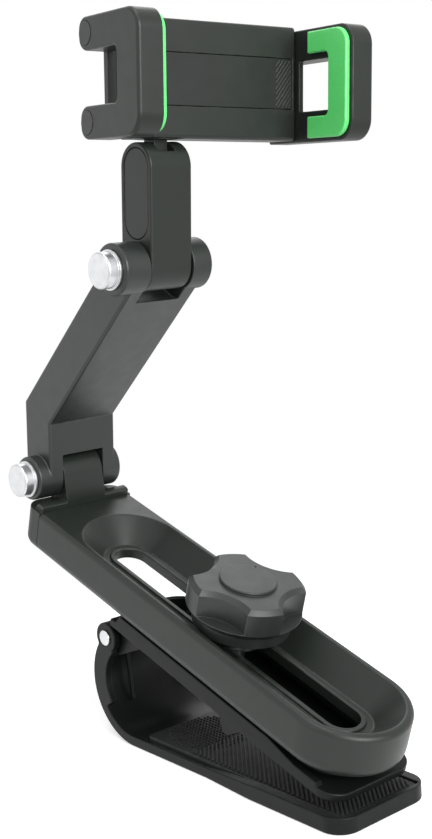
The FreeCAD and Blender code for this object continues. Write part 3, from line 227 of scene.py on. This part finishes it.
def bump(tree, shader, height, strength, distance):
    """Let a height socket bump a shader's surface."""
    node = add(tree, "ShaderNodeBump", in_Strength=strength, in_Distance=distance)
    tree.links.new(height, node.inputs["Height"])
    tree.links.new(node.outputs["Normal"], shader.inputs["Normal"])


def plastic(name, colour, rubbed, roughness, grain_scale=2600.0, grain=0.25, rub=0.45, **constants):
    """Moulded plastic or rubber: grain, slow shade changes and rubbed edges."""
    material, tree, shader = new_finish(name, **constants)
    link = tree.links.new
    skin = use_group(tree, GRAIN, Colour=colour, Roughness=roughness, Grain_Scale=grain_scale,
                     Shade_Spread=0.35, Gloss_Spread=0.16)
    worn = use_group(tree, RUB, Rubbed_Colour=rubbed, Amount=rub)
    link(skin.outputs["Colour"], worn.inputs["Colour"])
    link(worn.outputs["Colour"], shader.inputs["Base Color"])
    gloss = add(tree, "ShaderNodeMath", operation="MULTIPLY_ADD", in_1=-0.08, use_clamp=True)
    link(worn.outputs["Mask"], gloss.inputs[0])
    link(skin.outputs["Roughness"], gloss.inputs[2])
    link(gloss.outputs[0], shader.inputs["Roughness"])
    bump(tree, shader, skin.outputs["Height"], grain, GRAIN_DEPTH)
    return material


def metal(name, colour, roughness, line_scale=9000.0, relief=0.08):
    """Plated or turned metal with fine lines and a faint stain."""
    material, tree, shader = new_finish(name, Metallic=1.0)
    skin = use_group(tree, TURNED, Colour=colour, Roughness=roughness, Line_Scale=line_scale)
    tree.links.new(skin.outputs["Colour"], shader.inputs["Base Color"])
    tree.links.new(skin.outputs["Roughness"], shader.inputs["Roughness"])
    bump(tree, shader, skin.outputs["Height"], relief, LINE_DEPTH)
    return material


SATIN = plastic("satin_black_plastic", linear(27, 31, 29), linear(78, 82, 79), 0.42, rub=0.25)
MATT = plastic("matt_black_plastic", linear(31, 35, 32), linear(80, 84, 81), 0.4, rub=0.25,
               Specular_IOR_Level=0.3)
FINE = plastic("fine_black_plastic", linear(32, 35, 33), linear(78, 81, 79), 0.36,
               grain_scale=3600.0, grain=0.15, rub=0.25, Specular_IOR_Level=0.3)
# Jaw plastic: its base colour is darker than the other black plastics, painted shade for the shaded
# insides of the clip.
PAINTED_SHADE_BLACK = plastic("black_plastic_with_painted_shade", linear(15, 17, 16), linear(48, 51, 49), 0.4,
               grain_scale=3000.0, grain=0.2, rub=0.15, Specular_IOR_Level=0.15)
RUBBER = plastic("ribbed_black_rubber", linear(19, 20, 20), linear(58, 60, 59), 0.62,
                 grain_scale=1800.0, grain=0.4, rub=0.6, Specular_IOR_Level=0.3)
GREEN = plastic("soft_green_rubber", linear(92, 214, 112), linear(136, 238, 152), 0.42,
                grain_scale=2200.0, grain=0.2, rub=0.55)
BRIGHT = metal("bright_plated_steel", linear(200, 201, 203), 0.28)
STEEL = metal("zinc_plated_steel", linear(168, 170, 174), 0.26, 6000.0, 0.15)
WIRE = metal("dark_spring_wire", linear(36, 37, 39), 0.42, 6000.0, 0.15)
BRASS = metal("turned_brass", linear(206, 168, 92), 0.22)


def merged_copy(node, join=True):
    """Welded copy of a solid's triangles, with its flat faces joined if asked."""
    mesh = bmesh.new()
    mesh.from_mesh(frame["nodes"][node].data)
    bmesh.ops.remove_doubles(mesh, verts=mesh.verts, dist=WELD)
    if join:
        bmesh.ops.dissolve_limit(mesh, angle_limit=FLAT, verts=mesh.verts, edges=mesh.edges,
                                 use_dissolve_boundaries=False)
    return mesh


def sharp_edges(mesh):
    """Edges between two faces that are to be rounded."""
    limit = math.radians(CREASE)
    return [e for e in mesh.edges if len(e.link_faces) == 2 and e.calc_face_angle(0.0) > limit]


def outline_of(mesh):
    """Lowest and highest corner of a mesh's box."""
    xs, ys, zs = zip(*[v.co for v in mesh.verts])
    return Vector((min(xs), min(ys), min(zs))), Vector((max(xs), max(ys), max(zs)))


def turned_over(mesh):
    """Area of the triangles that face against their own face, as in a fold or a spike."""
    area = 0.0
    for loops in mesh.calc_loop_triangles():
        a, b, c = (loop.vert.co for loop in loops)
        across = (b - a).cross(c - a)
        if across.dot(loops[0].face.normal) < 0:
            area += across.length / 2
    return area


def mark_edges(mesh, faces):
    """Mark faces as roundings in the attribute that the rub follows."""
    mark = mesh.loops.layers.float.new("edge")
    for face in faces:
        for loop in face.loops:
            loop[mark] = 1.0
    return mesh


def bevelled(node, width, segments):
    """Copy of a solid with its sharp edges rounded, by the widest bevel that stays sound."""
    plain = merged_copy(node)
    volume, (low, high) = plain.calc_volume(), outline_of(plain)
    for miter, share, join in itertools.product(("ARC", "SHARP"), BEVEL_SHARES, (True, False)):
        mesh = merged_copy(node, join)
        result = bmesh.ops.bevel(
            mesh, geom=sharp_edges(mesh), offset=width * share, offset_type="OFFSET",
            segments=segments, profile=0.5, affect="EDGES", clamp_overlap=False, miter_outer=miter)
        change = abs(mesh.calc_volume() - volume)
        new_low, new_high = outline_of(mesh)
        growth = max(max(low - new_low), max(new_high - high))
        if change < VOLUME_CHANGE * abs(volume) and growth < GROWTH and turned_over(mesh) < FOLD:
            plain.free()
            return mark_edges(mesh, result["faces"])
        mesh.free()
    print("left unbevelled:", node)
    return mark_edges(plain, [])


def make_piece(name, mesh, finish, body, smooth=SMOOTH):
    """Object at the origin from a bmesh or a mesh, smooth but for its sharp edges."""
    if isinstance(mesh, bmesh.types.BMesh):
        data = bpy.data.meshes.new(name)
        mesh.to_mesh(data)
        mesh.free()
    else:
        data = mesh
        data.name = name
    data.materials.clear()
    data.materials.append(finish)
    data.polygons.foreach_set("use_smooth", [True] * len(data.polygons))
    data.set_sharp_from_angle(angle=math.radians(smooth))
    piece = bpy.data.objects.new(name, data)
    scene.collection.objects.link(piece)
    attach(piece, body)
    return piece


def flat_areas(data):
    """For each face, the area of the flat region that it is part of."""
    sides, region = {}, list(range(len(data.polygons)))

    def root(index):
        while region[index] != index:
            region[index] = region[region[index]]
            index = region[index]
        return index

    for face in data.polygons:
        for key in face.edge_keys:
            sides.setdefault(key, []).append(face)
    for pair in sides.values():
        if len(pair) == 2 and pair[0].normal.dot(pair[1].normal) > math.cos(FLAT):
            region[root(pair[0].index)] = root(pair[1].index)
    total = {}
    for face in data.polygons:
        total[root(face.index)] = total.get(root(face.index), 0.0) + face.area
    return [total[root(face.index)] for face in data.polygons]


def even_shading(data):
    """Corner normals weighted by flat area, so that a flat face shades flat up to its roundings."""
    limit = math.cos(math.radians(SMOOTH))
    around = [[] for _ in data.vertices]
    for face, area in zip(data.polygons, flat_areas(data)):
        for vertex in face.vertices:
            around[vertex].append((face.normal.copy(), area))
    corners = []
    for face in data.polygons:
        for vertex in face.vertices:
            total = Vector()
            for normal, area in around[vertex]:
                if normal.dot(face.normal) >= limit:
                    total += normal * area
            corners.append(total.normalized())
    data.normals_split_custom_set(corners)


def dress(node, name, finish, width, segments):
    """Put a copy with bevels of a width in millimetres in a solid's place."""
    piece = make_piece(name, bevelled(node, width * MM, segments), finish, BODY_OF[node])
    even_shading(piece.data)
    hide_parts(node)
    return piece


# Solid, piece, finish and bevel width of each plastic moulding.
MOULDINGS = [
    # Both jaws take the darker plastic with painted shade.
    ("lower_jaw", "lower_jaw_moulding", PAINTED_SHADE_BLACK, 0.35), ("upper_jaw", "upper_jaw_tray", PAINTED_SHADE_BLACK, 0.35),
    ("rail_housing", "rail_shell", MATT, 0.3), ("rail_base_cover", "rail_lid", MATT, 0.25),
    ("rail_hinge_block", "rail_end_block", MATT, 0.35), ("knob", "fluted_knob", SATIN, 0.4),
    ("lower_arm", "cranked_arm", SATIN, 0.3), ("barrel_plugs", "barrel_end_plugs", FINE, 0.2),
    ("upper_arm", "upright_arm", MATT, 0.35), ("arm_panels", "arm_side_panels", FINE, 0.25),
    ("swivel_base", "swivel_tongue", MATT, 0.2), ("clamp_front_housing", "clamp_face", MATT, 0.25),
    ("clamp_strip", "clamp_centre_strip", FINE, 0.12), ("clamp_back_cover", "clamp_back", MATT, 0.25),
    ("fixed_ear", "fixed_ear_moulding", MATT, 0.4), ("ear_screw_covers", "ear_cover_discs", FINE, 0.12),
    ("sliding_ear", "sliding_ear_moulding", MATT, 0.4),
]
for node, name, finish, width in MOULDINGS:
    dress(node, name, finish, width, 3)
for node, name in (("left_pad", "fixed_ear_pad"), ("right_pad", "sliding_ear_pad")):
    pad = dress(node, name, GREEN, 0.45, 4)
for node, name in (("hinge_pins", "capped_hinge_pins"), ("clip_eyelets", "clip_eyelet_rings")):
    dress(node, name, BRIGHT, 0.18, 3)
for node, name in (("clamp_bolt", "slot_bolt"), ("knob_washer", "knob_flat_washer"),
                   ("pin_nuts", "pin_hex_nuts"), ("tilt_pin", "tilt_cross_pin"),
                   ("stem_clip", "stem_ring"), ("clamp_screws", "back_screws")):
    dress(node, name, STEEL, 0.12, 2)
dress("knob_insert", "knob_brass_insert", BRASS, 0.15, 2)


class NodeWeb:
    """A geometry tree under construction, with named inputs."""

    def __init__(self, name, inputs):
        self.tree = bpy.data.node_groups.new(name, "GeometryNodeTree")
        new_socket = self.tree.interface.new_socket
        kinds = {float: FLOAT, int: "NodeSocketInt"}
        for label, value in inputs.items():
            socket = new_socket(label, in_out="INPUT", socket_type=kinds[type(value)])
            socket.default_value = value
        new_socket("Finish", in_out="INPUT", socket_type="NodeSocketMaterial")
        new_socket("Geometry", in_out="OUTPUT", socket_type="NodeSocketGeometry")
        self.source = self.tree.nodes.new("NodeGroupInput").outputs
        self.sink = self.tree.nodes.new("NodeGroupOutput").inputs

    def node(self, kind, values=(), **settings):
        """Node whose inputs take plain values or other nodes' outputs."""
        node = self.tree.nodes.new(kind)
        for key, value in settings.items():
            setattr(node, key, value)
        for key, value in dict(values).items():
            if isinstance(value, bpy.types.NodeSocket):
                self.tree.links.new(value, node.inputs[key])
            else:
                node.inputs[key].default_value = value
        return node.outputs

    def math(self, operation, a, b=0.0, c=0.0):
        """Result of one operation on up to three numbers."""
        return self.node("ShaderNodeMath", {0: a, 1: b, 2: c}, operation=operation)[0]

    def vector(self, x, y, z):
        """Vector made of three numbers."""
        return self.node("ShaderNodeCombineXYZ", {0: x, 1: y, 2: z})[0]

    def close(self, instances):
        """Make the instances real, give them the finish and end the tree."""
        real = self.node("GeometryNodeRealizeInstances", {0: instances})[0]
        done = self.node("GeometryNodeSetMaterial",
                         {"Geometry": real, "Material": self.source["Finish"]})[0]
        self.tree.links.new(done, self.sink[0])
        return self.tree


def rib_tree():
    """Straight ribs at one angle, cut to a rectangle that runs along X."""
    shortest = 0.8 * MM
    web = NodeWeb("rib_field", {"Count": 10, "Pitch": 0.002, "Angle": 1.0, "First": 0.0, "Start": 0.0,
                                "End": 0.05, "Half Width": 0.01, "Rib Radius": 0.0005, "Level": 0.0})
    get = web.source
    line = web.node("GeometryNodeMeshLine", {"Count": get["Count"]})[0]
    points = web.node("GeometryNodeMeshToPoints", {"Mesh": line})[0]
    number = web.node("GeometryNodeInputIndex")[0]
    cross = web.math("MULTIPLY_ADD", number, get["Pitch"], get["First"])
    run, rise = web.math("COSINE", get["Angle"]), web.math("SINE", get["Angle"])
    side = web.math("DIVIDE", get["Half Width"], web.math("ABSOLUTE", rise))
    first = web.math("DIVIDE", web.math("SUBTRACT", get["Start"], cross), run)
    last = web.math("DIVIDE", web.math("SUBTRACT", get["End"], cross), run)
    low = web.math("MAXIMUM", web.math("MULTIPLY", side, -1.0), web.math("MINIMUM", first, last))
    high = web.math("MINIMUM", side, web.math("MAXIMUM", first, last))
    length = web.math("SUBTRACT", high, low)
    middle = web.math("MULTIPLY", web.math("ADD", low, high), 0.5)
    spot = web.vector(web.math("MULTIPLY_ADD", middle, run, cross), web.math("MULTIPLY", middle, rise),
                      get["Level"])
    placed = web.node("GeometryNodeSetPosition", {"Geometry": points, "Position": spot})[0]
    kept = web.node("FunctionNodeCompare", {0: length, 1: shortest}, operation="GREATER_THAN")[0]
    bar = web.node("GeometryNodeMeshCylinder", {"Vertices": 8, "Radius": 1.0, "Depth": 1.0})["Mesh"]
    lying = web.node("GeometryNodeTransform", {"Geometry": bar, "Rotation": (0.0, math.pi / 2, 0.0)})[0]
    turn = web.vector(0.0, 0.0, get["Angle"])
    size = web.vector(length, get["Rib Radius"], get["Rib Radius"])
    return web.close(web.node("GeometryNodeInstanceOnPoints", {
        "Points": placed, "Selection": kept, "Instance": lying, "Rotation": turn, "Scale": size})[0])


def dot_tree():
    """Round patch of small domes on a square grid."""
    web = NodeWeb("dot_field", {"Radius": 0.01, "Per Side": 20, "Dot Radius": 0.0004,
                                "Centre": 0.0, "Level": 0.0})
    get = web.source
    across = web.math("MULTIPLY", get["Radius"], 2.0)
    grid = web.node("GeometryNodeMeshGrid", {
        "Size X": across, "Size Y": across,
        "Vertices X": get["Per Side"], "Vertices Y": get["Per Side"]})["Mesh"]
    points = web.node("GeometryNodeMeshToPoints", {"Mesh": grid})[0]
    reach = web.node("ShaderNodeVectorMath", {0: web.node("GeometryNodeInputPosition")[0]},
                     operation="LENGTH")["Value"]
    outside = web.node("FunctionNodeCompare", {0: reach, 1: get["Radius"]}, operation="GREATER_THAN")[0]
    kept = web.node("GeometryNodeDeleteGeometry", {"Geometry": points, "Selection": outside})[0]
    placed = web.node("GeometryNodeSetPosition", {
        "Geometry": kept, "Offset": web.vector(get["Centre"], 0.0, get["Level"])})[0]
    dome = web.node("GeometryNodeMeshIcoSphere", {"Radius": 1.0, "Subdivisions": 2})["Mesh"]
    size = web.vector(get["Dot Radius"], get["Dot Radius"], get["Dot Radius"])
    return web.close(web.node("GeometryNodeInstanceOnPoints", {
        "Points": placed, "Instance": dome, "Scale": size})[0])


def coil_tree():
    """Round-wire coil along +Z from the origin."""
    web = NodeWeb("wire_coil", {"Turns": 8.0, "Coil Radius": 0.003, "Wire Radius": 0.0005,
                                "Length": 0.01})
    get = web.source
    path = web.node("GeometryNodeCurveSpiral", {
        "Resolution": 24, "Rotations": get["Turns"], "Start Radius": get["Coil Radius"],
        "End Radius": get["Coil Radius"], "Height": get["Length"]})[0]
    ring = web.node("GeometryNodeCurvePrimitiveCircle",
                    {"Resolution": 8, "Radius": get["Wire Radius"]})[0]
    return web.close(web.node("GeometryNodeCurveToMesh", {
        "Curve": path, "Profile Curve": ring, "Fill Caps": True})[0])


def grown(tree, finish, place=None, **values):
    """Plain mesh that a geometry tree gives for these input values."""
    holder = bpy.data.objects.new("holder", bpy.data.meshes.new("holder"))
    scene.collection.objects.link(holder)
    modifier = holder.modifiers.new("field", "NODES")
    modifier.node_group = tree
    sockets = {s.name: s.identifier for s in tree.interface.items_tree if s.in_out == "INPUT"}
    modifier[sockets["Finish"]] = finish
    for label, value in values.items():
        modifier[sockets[label.replace("_", " ")]] = value
    bpy.context.view_layer.update()
    ready = holder.evaluated_get(bpy.context.evaluated_depsgraph_get())
    mesh = bpy.data.meshes.new_from_object(ready)
    bpy.data.objects.remove(holder)
    if place is not None:
        mesh.transform(place)
    return mesh


RIBS, DOTS, COIL = rib_tree(), dot_tree(), coil_tree()


def grip_sheet(start, end, half, low, high, corner):
    """Flat rubber sheet along X with rounded corners and a soft top edge."""
    soft_width, steps = 0.0003, 6
    mesh = bmesh.new()
    ring = []
    for middle, side, begin in ((start + corner, 1, 0.5), (start + corner, -1, 1.0),
                                (end - corner, -1, -0.5), (end - corner, 1, 0.0)):
        for step in range(steps + 1):
            angle = math.pi * (begin + step / (2 * steps))
            ring.append((middle + corner * math.cos(angle),
                         side * (half - corner) + corner * math.sin(angle)))
    face = mesh.faces.new([mesh.verts.new((x, y, low)) for x, y in ring])
    top = bmesh.ops.extrude_face_region(mesh, geom=[face])
    bmesh.ops.translate(mesh, vec=(0, 0, high - low),
                        verts=[v for v in top["geom"] if isinstance(v, bmesh.types.BMVert)])
    bmesh.ops.recalc_face_normals(mesh, faces=mesh.faces)
    rim = [e for e in mesh.edges if all(abs(v.co.z - high) < 1e-7 for v in e.verts)]
    soft = bmesh.ops.bevel(mesh, geom=rim, offset=soft_width, offset_type="OFFSET", segments=3,
                           profile=0.5, affect="EDGES", clamp_overlap=True)
    return mark_edges(mesh, soft["faces"])


def lower_grip():
    """Lower jaw's sheet: round dotted patch at the back, slanting ribs from there to the tip."""
    low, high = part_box("lower_jaw_pad")
    half = high.y
    relief, border, radius, corner = 0.6 * MM, 0.8 * MM, 0.42 * MM, 1.5 * MM
    top = high.z - relief
    outline = grip_sheet(low.x, high.x, half, low.z, top, corner)
    sheet = make_piece("lower_grip_sheet", outline, RUBBER, "lower_jaw")
    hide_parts("lower_jaw_pad")
    patch = low.x + half - 1.0 * MM
    slanting = grown(
        RIBS, RUBBER, Count=90, Pitch=1.7 * MM, Angle=math.radians(-40), First=low.x - 0.03,
        Start=patch + half * 0.55, End=high.x - border, Half_Width=half - border,
        Rib_Radius=radius, Level=top)
    ribs = make_piece("lower_grip_ribs", slanting, RUBBER, "lower_jaw")
    domes = grown(DOTS, RUBBER, Radius=half - 1.2 * MM, Per_Side=20, Dot_Radius=radius,
                  Centre=patch, Level=top)
    dots = make_piece("lower_grip_dots", domes, RUBBER, "lower_jaw")


lower_grip()
dress("upper_jaw_pad", "upper_grip_sheet", RUBBER, 0.3, 3)

# Turns +Z to +Y, for coils that lie along the pins or the grip.
ALONG_Y = Matrix.Rotation(-math.pi / 2, 4, "X")


def clamp_frame():
    """Clamp's own frame: y along the grip, z along the swivel stem, origin on the tilt pin."""
    y, z = Vector(JOINTS["jaw_slide"]["axis"]), Vector(JOINTS["head_spin"]["axis"])
    turn = Matrix((y.cross(z), y, z)).transposed().to_4x4()
    return Matrix.Translation(JOINTS["head_spin"]["pos_m"]) @ turn


def rod(mesh, start, end, radius):
    """Add a straight round bar between two points."""
    run = end - start
    turn = run.to_track_quat("Z", "Y").to_matrix().to_4x4()
    bmesh.ops.create_cone(mesh, cap_ends=True, segments=12, radius1=radius, radius2=radius,
                          depth=run.length, matrix=Matrix.Translation((start + end) / 2) @ turn)


def clip_spring():
    """Closing spring: wound wire on the clip's eye with a leg to each jaw."""
    low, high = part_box("clip_spring")
    eye = Vector(JOINTS["clip_open"]["pos_m"])
    wire, coil, half = 0.58 * MM, 3.4 * MM, high.y - 0.6 * MM
    lower_end = Vector((eye.x - 0.9 * MM, -half, low.z + wire))
    upper_end = Vector((high.x - wire, half, eye.z - 1.3 * MM))
    place = Matrix.Translation((eye.x, -half, eye.z)) @ ALONG_Y
    mesh = bmesh.new()
    mesh.from_mesh(grown(COIL, WIRE, place, Turns=10.0, Coil_Radius=coil, Wire_Radius=wire,
                         Length=2 * half))
    rod(mesh, eye + Vector((-coil, -half, 0)), lower_end, wire)
    rod(mesh, eye + Vector((0, half, coil)), upper_end, wire)
    spring = make_piece("clip_closing_spring", mesh, WIRE, "lower_jaw", SMOOTH_WIRE)
    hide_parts("clip_spring")


def pull_springs():
    """The two pull springs in the clamp, as close-wound wire."""
    depth, start, heights = -2.8 * MM, -5.0 * MM, (18.31 * MM, 26.31 * MM)
    mesh = bmesh.new()
    for height in heights:
        place = clamp_frame() @ Matrix.Translation((depth, start, height)) @ ALONG_Y
        mesh.from_mesh(grown(COIL, WIRE, place, Turns=52.0, Coil_Radius=1.2 * MM,
                             Wire_Radius=0.29 * MM, Length=34.2 * MM))
    springs = make_piece("clamp_pull_springs", mesh, WIRE, "clamp", SMOOTH_WIRE)
    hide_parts("jaw_springs")


def strip_ribs():
    """Fine slanting grip ribs at the sliding end of the clamp's centre strip."""
    middle = 22.31 * MM
    upright = Matrix(((0, 0, 1), (1, 0, 0), (0, 1, 0))).to_4x4()
    place = clamp_frame() @ Matrix.Translation((0, 0, middle)) @ upright
    strokes = grown(
        RIBS, FINE, place, Count=18, Pitch=1.15 * MM, Angle=math.radians(52), First=29.0 * MM,
        Start=34.8 * MM, End=39.9 * MM, Half_Width=6.2 * MM, Rib_Radius=0.16 * MM, Level=5.93 * MM)
    ribs = make_piece("strip_grip_ribs", strokes, FINE, "clamp")


clip_spring()
pull_springs()
strip_ribs()


def seen_or_mirrored(tree):
    """Socket that is 1 for what the camera sees directly or mirrored in a glossy face."""
    path = add(tree, "ShaderNodeLightPath")
    either = add(tree, "ShaderNodeMath", operation="MAXIMUM")
    tree.links.new(path.outputs["Is Camera Ray"], either.inputs[0])
    tree.links.new(path.outputs["Is Glossy Ray"], either.inputs[1])
    return either.outputs[0]


def pale_floor():
    """Round pale floor that keeps the shadow near the object and fades into the white world."""
    radius, drop, fade_from, fade_to = 1.2, 0.0002, 0.09, 0.24
    mesh = bmesh.new()
    bmesh.ops.create_circle(mesh, cap_ends=True, segments=96, radius=radius)
    data = bpy.data.meshes.new("studio_floor")
    mesh.to_mesh(data)
    mesh.free()
    floor = bpy.data.objects.new("studio_floor", data)
    scene.collection.objects.link(floor)
    material, tree, shader = new_finish("pale_floor", Roughness=0.9, Specular_IOR_Level=0.0)
    link = tree.links.new
    shader.inputs["Base Color"].default_value = (0.8, 0.8, 0.8, 1)
    glow = add(tree, "ShaderNodeMath", operation="MULTIPLY", in_1=0.5)
    link(seen_or_mirrored(tree), glow.inputs[0])
    shader.inputs["Emission Color"].default_value = (1, 1, 1, 1)
    link(glow.outputs[0], shader.inputs["Emission Strength"])
    place = add(tree, "ShaderNodeTexCoord")
    reach = add(tree, "ShaderNodeVectorMath", operation="LENGTH")
    link(place.outputs["Object"], reach.inputs[0])
    fade = add(tree, "ShaderNodeMapRange", interpolation_type="SMOOTHSTEP",
               in_1=fade_from, in_2=fade_to, in_3=1.0, in_4=0.0)
    link(reach.outputs["Value"], fade.inputs[0])
    clear = add(tree, "ShaderNodeBsdfTransparent")
    mix = add(tree, "ShaderNodeMixShader")
    link(fade.outputs[0], mix.inputs[0])
    link(clear.outputs[0], mix.inputs[1])
    link(shader.outputs[0], mix.inputs[2])
    link(mix.outputs[0], tree.nodes["Material Output"].inputs["Surface"])
    data.materials.append(material)
    floor.location.z = -drop


def white_world():
    """World that is seen white and gives a weaker, even fill."""
    world = bpy.data.worlds.new("studio_world")
    scene.world = world
    world.use_nodes = True
    tree = world.node_tree
    tree.nodes.clear()
    seen = add(tree, "ShaderNodeBackground", in_Color=(1, 1, 1, 1), in_Strength=1.0)
    fill = add(tree, "ShaderNodeBackground", in_Color=(1, 1, 1, 1), in_Strength=0.45)
    mix = add(tree, "ShaderNodeMixShader")
    out = add(tree, "ShaderNodeOutputWorld")
    tree.links.new(seen_or_mirrored(tree), mix.inputs[0])
    tree.links.new(fill.outputs[0], mix.inputs[1])
    tree.links.new(seen.outputs[0], mix.inputs[2])
    tree.links.new(mix.outputs[0], out.inputs["Surface"])


# Name, place, diameter and power of each soft light, and the point they all face.
LAMPS = (
    ("top_softbox", (0.1, -0.1, 1.0), 0.8, 4.5),
    ("front_softbox", (0.95, -0.15, 0.45), 0.7, 14.0),
    ("side_softbox", (-0.1, -0.95, 0.5), 0.7, 1.5),
    ("left_card", (-0.62, -0.55, 0.1), 0.9, 1.0),
    ("back_softbox", (-0.6, 0.5, 0.7), 0.6, 1.5),
)
LIT_POINT = Vector((-0.02, 0.0, 0.09))


def soft_lights():
    """Soft round lights at a plain level."""
    for name, spot, size, power in LAMPS:
        light = bpy.data.lights.new(name, "AREA")
        light.shape, light.size, light.energy = "DISK", size, power
        lamp = bpy.data.objects.new(name, light)
        lamp.location = spot
        aim = LIT_POINT - Vector(spot)
        lamp.rotation_euler = aim.to_track_quat("-Z", "Y").to_euler()
        scene.collection.objects.link(lamp)


def camera():
    """Camera at the photograph's place: 50 degrees round, 9 degrees above, slightly rolled."""
    place, facing_back = (0.25215, -0.22067, 0.14624), (0.7557, -0.6365, 0.1543)
    tall_field, roll, sensor = math.radians(35.116), math.radians(-3.43), 36.0
    data = bpy.data.cameras.new("photo_camera")
    data.sensor_fit = "VERTICAL"
    data.sensor_height = sensor
    data.lens = sensor / 2 / math.tan(tall_field / 2)
    data.clip_start, data.clip_end = 0.01, 20.0
    eye = bpy.data.objects.new("photo_camera", data)
    back = Vector(facing_back).normalized()
    right = Vector((0, 0, 1)).cross(back).normalized()
    upright = Matrix((right, back.cross(right), back)).transposed().to_4x4()
    eye.matrix_world = Matrix.Translation(place) @ upright @ Matrix.Rotation(roll, 4, "Z")
    scene.collection.objects.link(eye)
    scene.camera = eye


pale_floor()
white_world()
soft_lights()
camera()
scene.view_settings.view_transform = "Standard"
